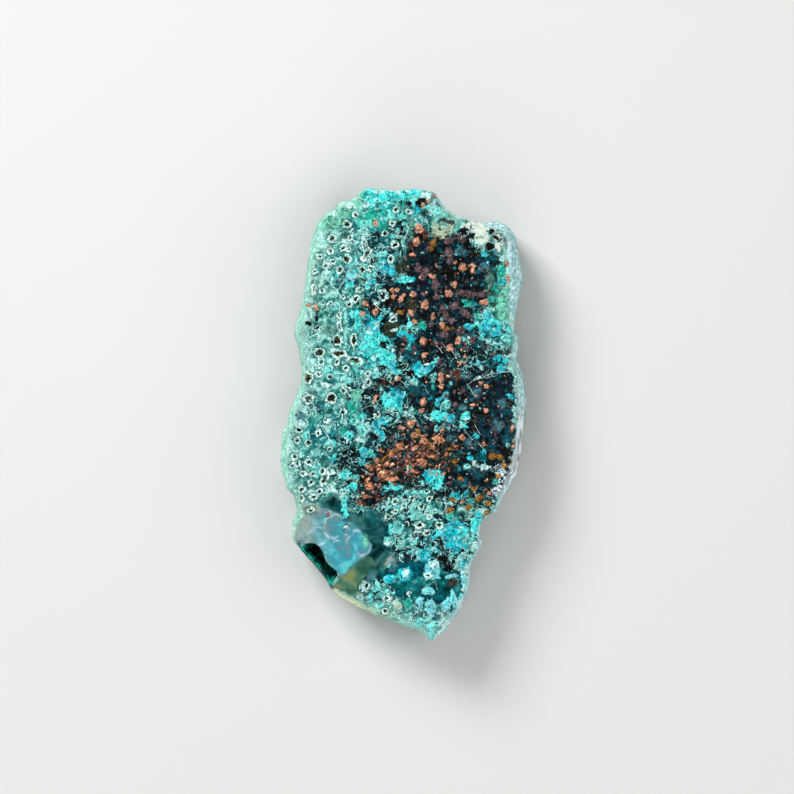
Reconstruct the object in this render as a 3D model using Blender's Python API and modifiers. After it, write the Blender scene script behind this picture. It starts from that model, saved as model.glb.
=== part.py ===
"""A blue-green copper mineral specimen: one flat stone with a cut face, lying on its back.

The face looks up (+Z), the long way runs along +Y and the flat back rests on z = 0.
Lengths below are in millimetres.
"""

import math

import bmesh
import bpy
import numpy as np
from mathutils import Vector, noise

MM = 0.001
NODE_NAME = "chrysocolla_stone"

THICKNESS = 14.0
VOXEL = 0.42
TARGET_TRIANGLES = 9200

# Side walls: how far up the slope starts, how wide the face edge gives way, and how rough they are.
SLOPE_START = 0.55
SLOPE_REACH = 4.2
BACK_ROUND = 1.0
BACK_ROUND_HEIGHT = 2.4
WALL_BAND = 1.6
WALL_ROUGHNESS = 1.2
WALL_GRAIN = 0.21
WALL_START = 0.2
WALL_BULGE_SHARE = 0.12
BELLY_LOW = (0.0, 0.3)
BELLY_HIGH = (0.75, 1.0)
INWARD_BLEND = (0.25, 0.9)
FACE_EDGE_ROUND = 0.35
FACE_EDGE_BAND = 1.2

# Flat breaks along the lower edge: how many, how far in on the back, how far up, and how long.
BREAK_COUNT = 17
BREAK_SEED = 11
BREAK_INSET = (0.9, 4.0)
BREAK_HEIGHT = (2.2, 6.4)
BREAK_LENGTH = (5.0, 9.5)
BREAK_LIMIT = 2.8
BREAK_STRAY = 0.6

# Relief of the cut face.
FACE_WAVE = 0.18
FACE_WAVE_GRAIN = 0.11
CORE_ROUGHNESS = 0.34
CORE_GRAIN = 0.85
CORE_FADE = (0.75, 1.05)
PIT_DEPTH = 1.5
PIT_RIM = 0.22
PIT_RIM_REACH = 1.35
PIT_RIM_SPREAD = 0.35
PIT_WALL = (0.35, 1.15)
GRAIN_HEIGHT = 0.35
GRAIN_SHOULDER = (0.75, 1.15)
FINGER_HEIGHT = 0.32
LOBE_HEIGHT = 0.3
RELIEF_TOP = 0.2
RELIEF_BOTTOM = 3.0

# Depth of the open pocket below the face, and how it narrows and leans as it goes down.
POCKET_DEPTH = 7.0
POCKET_NARROWING = 0.62
POCKET_LEAN = (1.1, 0.7)
CUT_CLEARANCE = 1.5

STONE_COLOUR = (0.08, 0.42, 0.40, 1.0)
STONE_ROUGHNESS = 0.35
WELD_DISTANCE = 0.01
SHORTEST = 1e-6
FAR_AWAY = 1e9

# Silhouette seen from above, clockwise from the top left: x, y, width of the side band.
OUTLINE = [
    (-17.3, 38.8, 1.0), (-16.3, 40.0, 1.0), (-13.1, 42.4, 1.0), (-10.1, 43.2, 0.8),
    (-8.1, 45.4, 0.6), (-5.7, 45.5, 0.4), (-1.1, 45.0, 0.4), (1.1, 45.4, 0.4), (5.7, 45.2, 0.6),
    (6.5, 44.8, 0.6), (7.5, 42.8, 0.6), (9.3, 40.8, 0.6), (11.1, 39.8, 0.6), (13.7, 39.4, 0.8),
    (15.5, 39.6, 1.2), (18.1, 38.8, 1.4), (20.6, 38.2, 1.6), (22.5, 35.9, 2.0), (23.1, 33.1, 2.4),
    (23.5, 30.4, 2.6), (24.1, 27.6, 2.6), (23.3, 24.4, 2.2), (22.3, 18.1, 1.0), (23.3, 14.8, 1.2),
    (22.7, 11.2, 1.0), (24.0, 8.2, 1.4), (24.7, 2.8, 1.8), (24.6, -0.1, 1.8), (24.3, -2.0, 1.6),
    (23.7, -7.2, 1.4), (23.1, -9.7, 1.4), (22.8, -11.8, 1.6), (21.5, -14.2, 1.4),
    (19.9, -17.1, 1.0), (19.1, -18.6, 0.8), (18.4, -20.1, 0.8), (16.8, -21.2, 0.8),
    (15.7, -22.1, 0.6), (15.3, -23.4, 0.6), (15.9, -25.6, 0.8), (15.7, -26.9, 0.8),
    (13.9, -29.2, 0.6), (13.4, -31.2, 0.6), (13.4, -34.0, 0.6), (12.8, -36.0, 0.8),
    (11.3, -39.1, 1.0), (8.7, -42.8, 1.0), (6.7, -45.0, 0.8), (5.9, -45.5, 0.6), (4.9, -45.0, 0.4),
    (3.4, -43.5, 0.4), (1.7, -42.9, 0.4), (-1.1, -42.0, 0.4), (-2.8, -41.1, 0.4),
    (-3.9, -40.9, 0.4), (-4.3, -40.0, 0.2), (-5.1, -40.5, 0.6), (-6.5, -40.0, 0.8),
    (-6.9, -39.4, 0.8), (-7.5, -39.5, 1.2), (-8.9, -39.0, 1.6), (-11.9, -37.2, 1.6),
    (-14.5, -35.1, 0.8), (-16.5, -31.9, 0.4), (-18.5, -29.4, 0.4), (-19.7, -28.2, 0.4),
    (-21.5, -25.9, 0.4), (-22.5, -24.9, 0.6), (-22.7, -23.1, 1.0), (-22.6, -22.1, 1.0),
    (-21.9, -20.6, 1.0), (-21.1, -19.6, 1.0), (-21.5, -18.8, 1.0), (-22.1, -16.9, 1.0),
    (-24.1, -15.2, 1.0), (-24.6, -13.2, 1.2), (-24.7, -8.7, 1.2), (-24.3, -3.6, 1.2),
    (-23.3, -1.4, 1.2), (-23.2, -0.1, 1.2), (-22.1, 2.4, 1.0), (-21.2, 5.0, 1.0), (-20.6, 7.8, 1.0),
    (-20.5, 9.8, 1.0), (-20.9, 11.6, 1.0), (-21.3, 14.3, 1.0), (-22.1, 16.1, 1.0),
    (-21.5, 18.4, 1.0), (-20.6, 20.9, 1.0), (-19.8, 25.4, 1.0), (-19.5, 28.9, 1.0),
    (-19.1, 30.8, 1.0), (-18.5, 34.8, 1.0),
]

# Open tube mouths and holes: x, y, half width, half height, turn in degrees.
PITS = [
    (-14.1, 35.0, 0.6, 0.5, 0), (-11.1, 30.9, 0.8, 0.8, 0), (-7.1, 32.1, 0.5, 1.2, 25),
    (-13.1, 14.8, 1.2, 1.2, 0), (-9.9, 14.8, 0.6, 1.0, 10), (-12.9, 12.3, 1.4, 0.6, -20),
    (-9.7, 10.8, 1.2, 0.6, -10), (-16.5, 11.9, 0.8, 1.0, 20), (-19.1, 7.3, 1.0, 1.2, 0),
    (-18.9, 3.1, 0.8, 0.8, 0), (-14.3, 3.4, 1.0, 1.0, 0), (-12.1, 0.6, 0.6, 0.8, 0),
    (-15.7, -12.7, 0.6, 1.2, -20), (-20.2, -14.8, 0.8, 0.6, 0), (-18.4, -13.4, 0.6, 0.6, 0),
    (-18.9, -5.5, 0.5, 0.8, -20), (-21.1, -5.5, 0.6, 0.5, 0), (-21.7, -8.4, 0.5, 0.5, 0),
    (-18.8, -9.4, 0.6, 0.5, 0), (-17.9, -16.4, 0.6, 0.5, 0), (-3.7, 36.0, 0.6, 0.5, 0),
    (-2.5, 30.9, 0.6, 0.6, 0), (-1.7, 33.8, 0.6, 0.6, 0), (-12.5, 18.9, 0.5, 1.0, 0),
    (-13.9, 30.4, 0.5, 0.5, 0), (-8.1, 28.6, 0.6, 0.6, 0), (-11.9, 23.4, 0.6, 0.5, 0),
    (-9.3, 23.1, 0.6, 0.5, 0), (-14.7, 7.5, 0.6, 0.5, 0), (-2.1, 18.9, 0.7, 0.7, 0),
    (-3.1, -1.2, 0.6, 0.5, 0), (-1.7, -17.2, 0.6, 0.5, 0), (-2.7, -19.9, 0.6, 0.6, 0),
    (3.2, -21.9, 0.8, 0.6, 0), (7.1, -21.9, 0.6, 0.5, 0), (-7.4, -33.9, 0.8, 0.7, 0),
    (-3.3, -36.5, 0.7, 0.6, 0), (-3.7, -39.0, 0.5, 0.5, 0), (8.7, -29.2, 1.8, 0.8, -15),
    (11.9, -27.9, 1.0, 0.6, 20),
]

# Copper-coloured and mauve grains that stand a little proud.
GRAINS = [
    (11.7, 29.4, 0.8, 0.8, 0), (13.7, 29.1, 0.7, 1.0, 0), (3.1, 37.2, 0.8, 0.8, 0),
    (2.5, 34.4, 0.6, 1.0, -40), (3.9, 41.8, 0.6, 0.5, 0), (-5.7, 38.0, 0.5, 0.6, 0),
    (-2.3, 24.8, 0.6, 0.6, 0), (-0.7, 22.9, 0.6, 0.6, 0), (1.9, 23.9, 0.6, 0.5, 0),
    (4.3, 21.8, 0.8, 0.8, 0), (3.8, 14.8, 0.6, 0.9, 0), (5.7, 19.4, 0.5, 0.6, 0),
    (10.9, 14.6, 0.6, 0.8, 0), (8.9, 25.1, 0.6, 1.2, -25), (3.9, 2.6, 0.8, 0.7, 0),
    (-5.6, 3.4, 0.5, 1.2, -25), (11.1, 10.1, 0.6, 0.6, 0), (7.5, 6.5, 0.8, 1.2, 0),
    (-7.7, 21.9, 0.5, 0.6, 0), (20.5, 30.2, 0.6, 0.6, 0), (-1.3, -9.8, 0.8, 0.6, 0),
    (-4.5, -12.1, 0.8, 0.6, 0), (-7.3, -15.4, 0.8, 0.8, 0), (-1.7, -12.8, 1.6, 0.6, 0),
    (4.3, -9.1, 1.2, 0.7, 0), (1.7, -5.7, 1.0, 0.8, 0), (8.5, -8.1, 0.8, 0.6, 0),
    (13.5, 23.9, 2.8, 0.7, 0), (3.9, 28.4, 0.8, 1.4, 10), (6.5, 25.4, 0.7, 1.6, 10),
    (11.9, 20.1, 1.0, 0.7, -30),
]

# Turquoise fingers and crusts.
FINGERS = [
    (2.9, -28.1, 4.0, 1.1, 3), (5.7, -31.2, 2.0, 1.2, -40), (9.5, -32.0, 1.2, 0.6, 25),
    (11.9, -32.9, 1.2, 1.8, 0), (3.3, -37.6, 0.7, 1.6, 0), (5.3, -37.9, 1.0, 1.8, -8),
    (5.1, -40.2, 0.9, 0.8, 0), (8.3, -37.6, 1.0, 1.8, -15), (9.9, -36.5, 0.8, 1.6, 10),
    (0.3, -31.6, 0.8, 1.0, 0), (-0.9, -37.6, 0.9, 0.8, 0), (-6.3, -36.0, 0.8, 0.6, 0),
    (14.5, -25.6, 1.4, 1.8, 0), (3.3, -41.5, 0.8, 0.8, 0), (5.9, -42.5, 0.9, 0.8, 0),
    (-5.7, 13.9, 2.8, 1.0, 25), (7.5, -0.5, 1.8, 1.0, 0), (-1.7, -14.4, 2.6, 0.6, 0),
    (14.3, -22.1, 2.0, 1.6, 0), (8.5, -25.2, 1.6, 1.2, 0), (-8.5, 17.6, 1.0, 1.4, 0),
    (0.5, 26.6, 1.8, 0.8, 20), (6.3, 10.9, 1.8, 0.6, 25), (18.5, 11.6, 0.9, 0.9, 0),
    (15.3, 18.6, 2.2, 1.2, 0), (-7.5, -7.0, 0.8, 2.4, 0), (-3.1, 1.9, 2.0, 1.4, 0),
    (16.1, -10.4, 1.4, 0.6, 0), (-11.9, -17.4, 0.6, 3.0, 0),
]

# Rounded blue-grey lobes: x, y, radius.
LOBES = [
    (-18.3, -23.1, 2.2), (-14.7, -21.9, 2.6), (-10.3, -24.1, 2.8), (-12.7, -28.6, 2.8),
    (-16.3, -26.1, 1.8),
]

# Slow rises and hollows of the face: x, y, radius, height.
BULGES = [
    (-14.7, 22.9, 9.0, 0.5), (-18.7, -7.0, 8.0, 0.5), (11.3, 26.9, 11.0, -0.5),
    (11.3, 3.0, 12.0, -0.4), (-4.7, 42.0, 7.0, 0.4), (5.3, -37.0, 9.0, -0.3),
    (14.3, -24.1, 5.0, 0.4), (1.3, -8.1, 8.0, 0.3),
]

# Where dark, grainy stone makes the face rough: x, y, half width, half height, turn.
CORE = [
    (11.0, 25.0, 9.5, 12.0, 0), (9.5, 8.0, 12.0, 11.0, 0), (13.0, -10.0, 9.0, 9.0, 0),
    (0.0, -9.0, 8.5, 7.0, 20),
]

# Mouth of the open pocket on the face.
POCKET = [
    (-21.0, -26.1), (-19.9, -25.4), (-18.3, -25.2), (-17.1, -26.2), (-16.3, -27.1), (-16.2, -28.6),
    (-15.3, -29.9), (-14.1, -30.9), (-12.7, -31.9), (-13.7, -33.2), (-14.5, -34.4), (-16.3, -31.2),
    (-18.5, -28.8),
]


def clear_scene():
    for item in list(bpy.data.objects):
        bpy.data.objects.remove(item)


def new_collection(name):
    collection = bpy.data.collections.new(name)
    bpy.context.scene.collection.children.link(collection)
    return collection


def stone_material():
    material = bpy.data.materials.new("blue_green_stone")
    material.use_nodes = True
    shader = material.node_tree.nodes["Principled BSDF"]
    shader.inputs["Base Color"].default_value = STONE_COLOUR
    shader.inputs["Roughness"].default_value = STONE_ROUGHNESS
    shader.inputs["Metallic"].default_value = 0.0
    return material


def evaluated_mesh(item):
    graph = bpy.context.evaluated_depsgraph_get()
    return bpy.data.meshes.new_from_object(item.evaluated_get(graph))


def smooth_step(low, high, value):
    t = np.clip((value - low) / (high - low), 0.0, 1.0)
    return t * t * (3.0 - 2.0 * t)


def noise_at(points, frequency, octaves=4):
    """Fractal noise of about -1 to 1 at each point."""
    values = [noise.fractal(Vector(p) * frequency, 1.0, 2.0, octaves) for p in points]
    return np.array(values)


def ellipse_reach(x, y, feature):
    """How far each point is from an ellipse's centre, with 1 on its edge."""
    centre_x, centre_y, half_width, half_height, turn = feature
    angle = math.radians(turn)
    dx = x - centre_x
    dy = y - centre_y
    along = dx * math.cos(angle) + dy * math.sin(angle)
    across = -dx * math.sin(angle) + dy * math.cos(angle)
    return np.hypot(along / half_width, across / half_height)


def nearest_on_outline(x, y):
    """Distance to the silhouette, the way inward, and the side band's width there."""
    start = np.array(OUTLINE)
    end = np.roll(start, -1, axis=0)
    points = np.stack([x, y], axis=1)
    best = np.full(len(x), FAR_AWAY)
    foot = np.zeros((len(x), 2))
    band = np.zeros(len(x))
    for a, b in zip(start, end):
        run = b[:2] - a[:2]
        t = np.clip(((points - a[:2]) @ run) / (run @ run), 0.0, 1.0)
        close = a[:2] + t[:, None] * run
        gap = np.hypot(*(points - close).T)
        nearer = gap < best
        best[nearer] = gap[nearer]
        foot[nearer] = close[nearer]
        band[nearer] = (a[2] + t * (b[2] - a[2]))[nearer]
    return best, foot, band


def inward_direction(x, y, foot, distance):
    """Unit vectors pointing away from the silhouette into the stone."""
    away = np.stack([x, y], axis=1) - foot
    centre = -np.stack([x, y], axis=1)
    centre /= np.maximum(np.linalg.norm(centre, axis=1), SHORTEST)[:, None]
    blend = smooth_step(*INWARD_BLEND, distance)[:, None]
    away /= np.maximum(np.linalg.norm(away, axis=1), SHORTEST)[:, None]
    mixed = away * blend + centre * (1.0 - blend)
    return mixed / np.maximum(np.linalg.norm(mixed, axis=1), SHORTEST)[:, None]


def blank_slab():
    """The silhouette as a block of full thickness, evenly meshed."""
    curve = bpy.data.curves.new("outline", "CURVE")
    curve.dimensions = "2D"
    curve.fill_mode = "BOTH"
    curve.extrude = THICKNESS * MM / 2.0
    spline = curve.splines.new("POLY")
    spline.points.add(len(OUTLINE) - 1)
    for point, (x, y, _) in zip(spline.points, OUTLINE):
        point.co = (x * MM, y * MM, 0.0, 1.0)
    spline.use_cyclic_u = True
    flat = bpy.data.objects.new("outline", curve)
    bpy.context.scene.collection.objects.link(flat)
    mesh = evaluated_mesh(flat)
    bpy.data.objects.remove(flat)

    shape = bmesh.new()
    shape.from_mesh(mesh)
    bmesh.ops.remove_doubles(shape, verts=shape.verts, dist=WELD_DISTANCE * MM)
    bmesh.ops.translate(shape, verts=shape.verts, vec=(0.0, 0.0, THICKNESS * MM / 2.0))
    bmesh.ops.recalc_face_normals(shape, faces=shape.faces)
    shape.to_mesh(mesh)
    shape.free()

    block = bpy.data.objects.new("block", mesh)
    bpy.context.scene.collection.objects.link(block)
    remesh = block.modifiers.new("even_mesh", "REMESH")
    remesh.mode = "VOXEL"
    remesh.voxel_size = VOXEL * MM
    even = evaluated_mesh(block)
    bpy.data.objects.remove(block)
    return even


def face_relief(x, y, points, edge_gap):
    """Height of the cut face above or below its mean level."""
    height = FACE_WAVE * noise_at(points, FACE_WAVE_GRAIN, 3)
    for centre_x, centre_y, radius, rise in BULGES:
        height += rise * np.exp(-((x - centre_x) ** 2 + (y - centre_y) ** 2) / radius**2)

    core = np.zeros(len(x))
    for feature in CORE:
        core = np.maximum(core, 1.0 - smooth_step(*CORE_FADE, ellipse_reach(x, y, feature)))
    height += core * CORE_ROUGHNESS * noise_at(points, CORE_GRAIN, 2)

    for feature in FINGERS:
        reach = ellipse_reach(x, y, feature)
        height += FINGER_HEIGHT * np.sqrt(np.clip(1.0 - reach**2, 0.0, 1.0))
    for centre_x, centre_y, radius in LOBES:
        reach = np.hypot(x - centre_x, y - centre_y) / radius
        height += LOBE_HEIGHT * np.sqrt(np.clip(1.0 - reach**2, 0.0, 1.0))
    for feature in GRAINS:
        reach = ellipse_reach(x, y, feature)
        height += GRAIN_HEIGHT * (1.0 - smooth_step(*GRAIN_SHOULDER, reach))
    for feature in PITS:
        reach = ellipse_reach(x, y, feature)
        height += PIT_RIM * np.exp(-(((reach - PIT_RIM_REACH) / PIT_RIM_SPREAD) ** 2))
        height -= PIT_DEPTH * (1.0 - smooth_step(*PIT_WALL, reach))

    height -= FACE_EDGE_ROUND * (1.0 - smooth_step(0.0, FACE_EDGE_BAND, edge_gap))
    return height


def break_lower_edge(points):
    """Presses the stone flat against slanting planes, as broken faces around its lower edge."""
    chance = np.random.default_rng(BREAK_SEED)
    silhouette = np.array(OUTLINE)[:, :2]
    step = len(silhouette) / BREAK_COUNT
    for number in range(BREAK_COUNT):
        at = int(number * step + chance.uniform(0.0, BREAK_STRAY) * step)
        before = silhouette[at - 2]
        after = silhouette[(at + 2) % len(silhouette)]
        run = (after - before) / np.linalg.norm(after - before)
        outward = np.array([-run[1], run[0]])
        inset = chance.uniform(*BREAK_INSET)
        tilt = math.atan2(inset, chance.uniform(*BREAK_HEIGHT))
        foot = silhouette[at] - outward * inset
        normal = np.array([*(outward * math.cos(tilt)), -math.sin(tilt)])
        beyond = np.clip((points - np.array([*foot, 0.0])) @ normal, 0.0, BREAK_LIMIT)
        away = np.hypot(*(points[:, :2] - silhouette[at]).T)
        points -= (beyond * (1.0 - smooth_step(*BREAK_LENGTH, away)))[:, None] * normal


def sculpt(mesh):
    """Slopes and roughens the walls, and raises the face's relief."""
    count = len(mesh.vertices)
    flat = np.empty(count * 3)
    mesh.vertices.foreach_get("co", flat)
    points = flat.reshape(count, 3) / MM
    x, y, z = points.T
    distance, foot, band = nearest_on_outline(x, y)
    inward = inward_direction(x, y, foot, distance)

    up = np.clip(z / THICKNESS, 0.0, 1.0)
    slope = band * smooth_step(SLOPE_START, 1.0, up)
    under = BACK_ROUND * (1.0 - smooth_step(0.0, BACK_ROUND_HEIGHT, z))
    give = np.clip(1.0 - distance / SLOPE_REACH, 0.0, 1.0)
    wall = 1.0 - smooth_step(WALL_START, WALL_BAND, distance)
    belly = smooth_step(*BELLY_LOW, up) * (1.0 - smooth_step(*BELLY_HIGH, up))
    bulges = np.clip(noise_at(points, WALL_GRAIN) + WALL_BULGE_SHARE, 0.0, 1.0)
    rough = WALL_ROUGHNESS * wall * belly * bulges
    shift = (slope + under) * give + rough

    top = smooth_step(THICKNESS - RELIEF_BOTTOM, THICKNESS - RELIEF_TOP, z)
    relief = face_relief(x, y, points, distance) * top
    moved = points.copy()
    moved[:, :2] += inward * shift[:, None]
    moved[:, 2] += relief
    moved[:, 2] = np.where(z < 0.5 * VOXEL, 0.0, np.maximum(moved[:, 2], 0.0))
    break_lower_edge(moved)
    mesh.vertices.foreach_set("co", (moved * MM).ravel())
    mesh.update()


def pocket_cutter(collection):
    """A tapering plug, wide at the face, that leans in under the lobes."""
    shape = bmesh.new()
    top_z = (THICKNESS + CUT_CLEARANCE) * MM
    ring = [shape.verts.new((x * MM, y * MM, top_z)) for x, y in POCKET]
    mouth = shape.faces.new(ring)
    grown = bmesh.ops.extrude_face_region(shape, geom=[mouth])
    lower = [item for item in grown["geom"] if isinstance(item, bmesh.types.BMVert)]
    centre = sum((v.co for v in lower), Vector()) / len(lower)
    for vert in lower:
        offset = (vert.co - centre) * POCKET_NARROWING
        vert.co = centre + offset + Vector((POCKET_LEAN[0] * MM, POCKET_LEAN[1] * MM, 0.0))
        vert.co.z = (THICKNESS - POCKET_DEPTH) * MM
    bmesh.ops.recalc_face_normals(shape, faces=shape.faces)
    mesh = bpy.data.meshes.new("pocket_cutter")
    shape.to_mesh(mesh)
    shape.free()
    cutter = bpy.data.objects.new("pocket_cutter", mesh)
    cutter.hide_render = True
    cutter.display_type = "WIRE"
    collection.objects.link(cutter)
    return cutter


def build_stone(collection, cutters):
    mesh = blank_slab()
    sculpt(mesh)
    mesh.name = NODE_NAME
    mesh.materials.append(stone_material())
    stone = bpy.data.objects.new(NODE_NAME, mesh)
    collection.objects.link(stone)

    triangles = sum(len(face.vertices) - 2 for face in mesh.polygons)
    thin = stone.modifiers.new("fewer_faces", "DECIMATE")
    thin.decimate_type = "COLLAPSE"
    thin.ratio = TARGET_TRIANGLES / triangles
    thin.use_collapse_triangulate = True

    pocket = stone.modifiers.new("pocket", "BOOLEAN")
    pocket.operation = "DIFFERENCE"
    pocket.solver = "EXACT"
    pocket.object = pocket_cutter(cutters)
    return stone


clear_scene()
build_stone(new_collection("chrysocolla_specimen"), new_collection("cutters"))
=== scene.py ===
import math
import random

import bmesh
import bpy
import numpy as np
from mathutils import Matrix, Vector, noise


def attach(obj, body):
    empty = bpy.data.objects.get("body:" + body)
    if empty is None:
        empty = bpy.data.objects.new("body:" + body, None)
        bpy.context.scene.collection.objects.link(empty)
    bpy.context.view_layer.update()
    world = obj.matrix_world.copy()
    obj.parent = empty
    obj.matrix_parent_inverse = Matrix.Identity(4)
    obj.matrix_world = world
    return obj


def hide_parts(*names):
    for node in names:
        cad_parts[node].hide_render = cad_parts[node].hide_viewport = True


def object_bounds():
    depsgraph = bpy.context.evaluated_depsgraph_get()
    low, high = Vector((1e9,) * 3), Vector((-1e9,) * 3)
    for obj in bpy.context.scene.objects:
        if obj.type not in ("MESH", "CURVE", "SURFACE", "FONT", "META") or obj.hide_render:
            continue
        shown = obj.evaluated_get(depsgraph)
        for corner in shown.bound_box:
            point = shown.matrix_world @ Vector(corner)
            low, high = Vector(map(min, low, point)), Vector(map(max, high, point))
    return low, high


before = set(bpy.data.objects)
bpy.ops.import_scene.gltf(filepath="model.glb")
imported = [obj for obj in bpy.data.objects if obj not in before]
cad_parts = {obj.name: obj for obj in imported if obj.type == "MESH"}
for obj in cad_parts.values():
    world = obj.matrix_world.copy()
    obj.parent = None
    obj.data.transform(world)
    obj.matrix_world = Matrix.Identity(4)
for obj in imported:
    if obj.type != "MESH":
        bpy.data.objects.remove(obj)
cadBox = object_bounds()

mm = 0.001  # sizes are in millimetres, and the tables of places in tenths of one
noise.seed_set(1)  # every run gives the same wobble


def tenths(rows):
    return [tuple(v / 10 for v in row) for row in rows]


def oval(x, y, wide, tall=None, turn=0):
    # round if it has no height of its own, and turned by degrees
    return x / 10, y / 10, wide / 10, (wide if tall is None else tall) / 10, turn


def ovals(rows):
    return [oval(*row) for row in rows]


# the stone as a whole: the outline is x, y and the width of the side band, clockwise
stone = {
    "thickness": 14.0,
    "voxel": 0.48,
    "weld": 0.01,
    "smoothPasses": 4,
    "backClear": 0.6,  # below this the walls aren't smoothed
    "faceDepth": 2.9,  # how far down the face's own relief is felt
    "faceBlend": 1.2,
    "faceTilt": 0.15,
    "rimEdge": (0.2, 1.1),
    "bandShare": 0.85,
    "pocketEdge": (-0.9, -0.3),
    "wallGrain": 0.13,
    "grainSize": 0.9,
    "grainShare": 0.4,
    "foot": (0.1, 0.8),
    "outline": tenths([
        (-173, 388, 10), (-163, 400, 10), (-131, 424, 10), (-101, 432, 8), (-81, 454, 6), (-57, 455, 4),
        (-11, 450, 4), (11, 454, 4), (57, 452, 6), (65, 448, 6), (75, 428, 6), (93, 408, 6), (111, 398, 6),
        (137, 394, 8), (155, 396, 12), (181, 388, 14), (206, 382, 16), (225, 359, 20), (231, 331, 24),
        (235, 304, 26), (241, 276, 26), (233, 244, 22), (223, 181, 10), (233, 148, 12), (227, 112, 10),
        (240, 82, 14), (247, 28, 18), (246, -1, 18), (243, -20, 16), (237, -72, 14), (231, -97, 14),
        (228, -118, 16), (215, -142, 14), (199, -171, 10), (191, -186, 8), (184, -201, 8), (168, -212, 8),
        (157, -221, 6), (153, -234, 6), (159, -256, 8), (157, -269, 8), (139, -292, 6), (134, -312, 6),
        (134, -340, 6), (128, -360, 8), (113, -391, 10), (87, -428, 10), (67, -450, 8), (59, -455, 6),
        (49, -450, 4), (34, -435, 4), (17, -429, 4), (-11, -420, 4), (-28, -411, 4), (-39, -409, 4),
        (-43, -400, 2), (-51, -405, 6), (-65, -400, 8), (-69, -394, 8), (-75, -395, 12), (-89, -390, 16),
        (-119, -372, 16), (-145, -351, 8), (-165, -319, 4), (-185, -294, 4), (-197, -282, 4), (-215, -259, 4),
        (-225, -249, 6), (-227, -231, 10), (-226, -221, 10), (-219, -206, 10), (-211, -196, 10),
        (-215, -188, 10), (-221, -169, 10), (-241, -152, 10), (-246, -132, 12), (-247, -87, 12),
        (-243, -36, 12), (-233, -14, 12), (-232, -1, 12), (-221, 24, 10), (-212, 50, 10), (-206, 78, 10),
        (-205, 98, 10), (-209, 116, 10), (-213, 143, 10), (-221, 161, 10), (-215, 184, 10), (-206, 209, 10),
        (-198, 254, 10), (-195, 289, 10), (-191, 308, 10), (-185, 348, 10),
    ]),
    "pocket": tenths([
        (-210, -261), (-199, -254), (-183, -252), (-171, -262), (-163, -271), (-162, -286), (-153, -299),
        (-141, -309), (-127, -319), (-137, -332), (-145, -344), (-163, -312), (-185, -288),
    ]),
}

# heights of the face's relief, and the sizes of its waves
relief = {
    "wave": 0.18,
    "waveSize": 9.0,
    "coreDrop": 0.12,
    "coreRough": 0.2,
    "coreSize": 1.1,
    "coreEdge": (-0.6, 0.8),
    "rise": 0.16,
    "sink": 0.3,
    "grain": 0.09,
    "grainSize": 0.7,
    "glassEdge": (-0.4, 0.4),
    "mouthDepth": 0.9,
    "mouthWall": (0.35, 1.2),
}

# slow rises of the cut face: x, y, radius, height
bulges = tenths([
    (-147, 229, 90, 5), (-187, -70, 80, 5), (113, 269, 110, -5), (113, 30, 120, -4), (-47, 420, 70, 4),
    (53, -370, 90, -3), (143, -241, 50, 4), (13, -81, 80, 3),
])

# areas of one mineral on the face, as edges walked round
areas = {
    "core": tenths([
        (17, 365), (73, 365), (133, 334), (189, 321), (199, 279), (173, 229), (141, 194), (145, 149),
        (193, 129), (217, 60), (223, -50), (209, -131), (169, -186), (103, -171), (57, -151), (-7, -154),
        (-63, -182), (-99, -154), (-107, -102), (-63, -50), (-11, -19), (29, 1), (-3, 34), (-47, 14),
        (-87, 38), (-63, 82), (-7, 70), (21, 98), (-19, 139), (-63, 189), (-91, 219), (-43, 259), (1, 274),
        (-7, 314),
    ]),
    "rust": tenths([
        (-91, -174), (-85, -134), (-59, -94), (-11, -50), (53, -39), (103, -47), (117, -82), (85, -114),
        (41, -111), (1, -142), (-39, -154), (-63, -186),
    ]),
    "glass": tenths([
        (-167, -171), (-135, -158), (-107, -194), (-67, -182), (-35, -206), (-19, -251), (-27, -291),
        (-59, -319), (-95, -359), (-145, -349), (-125, -319), (-95, -291), (-65, -266), (-95, -226),
        (-127, -199), (-163, -186),
    ]),
    "deep": tenths([
        (-35, -282), (1, -291), (73, -294), (117, -314), (125, -362), (97, -395), (73, -379), (9, -366),
        (-39, -355), (-59, -319),
    ]),
    "lobe": tenths([
        (-215, -256), (-213, -209), (-191, -186), (-149, -186), (-115, -204), (-89, -226), (-63, -259),
        (-69, -276), (-99, -296), (-123, -320), (-141, -304), (-161, -271), (-179, -261),
    ]),
    "olive": tenths([
        (-125, -319), (-67, -279), (-53, -294), (-75, -322), (-85, -350), (-101, -369), (-145, -349),
    ]),
    "facet": tenths([
        (-147, -346), (-117, -362), (-87, -379), (-63, -390), (-71, -404), (-107, -386), (-139, -364),
    ]),
}

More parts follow.
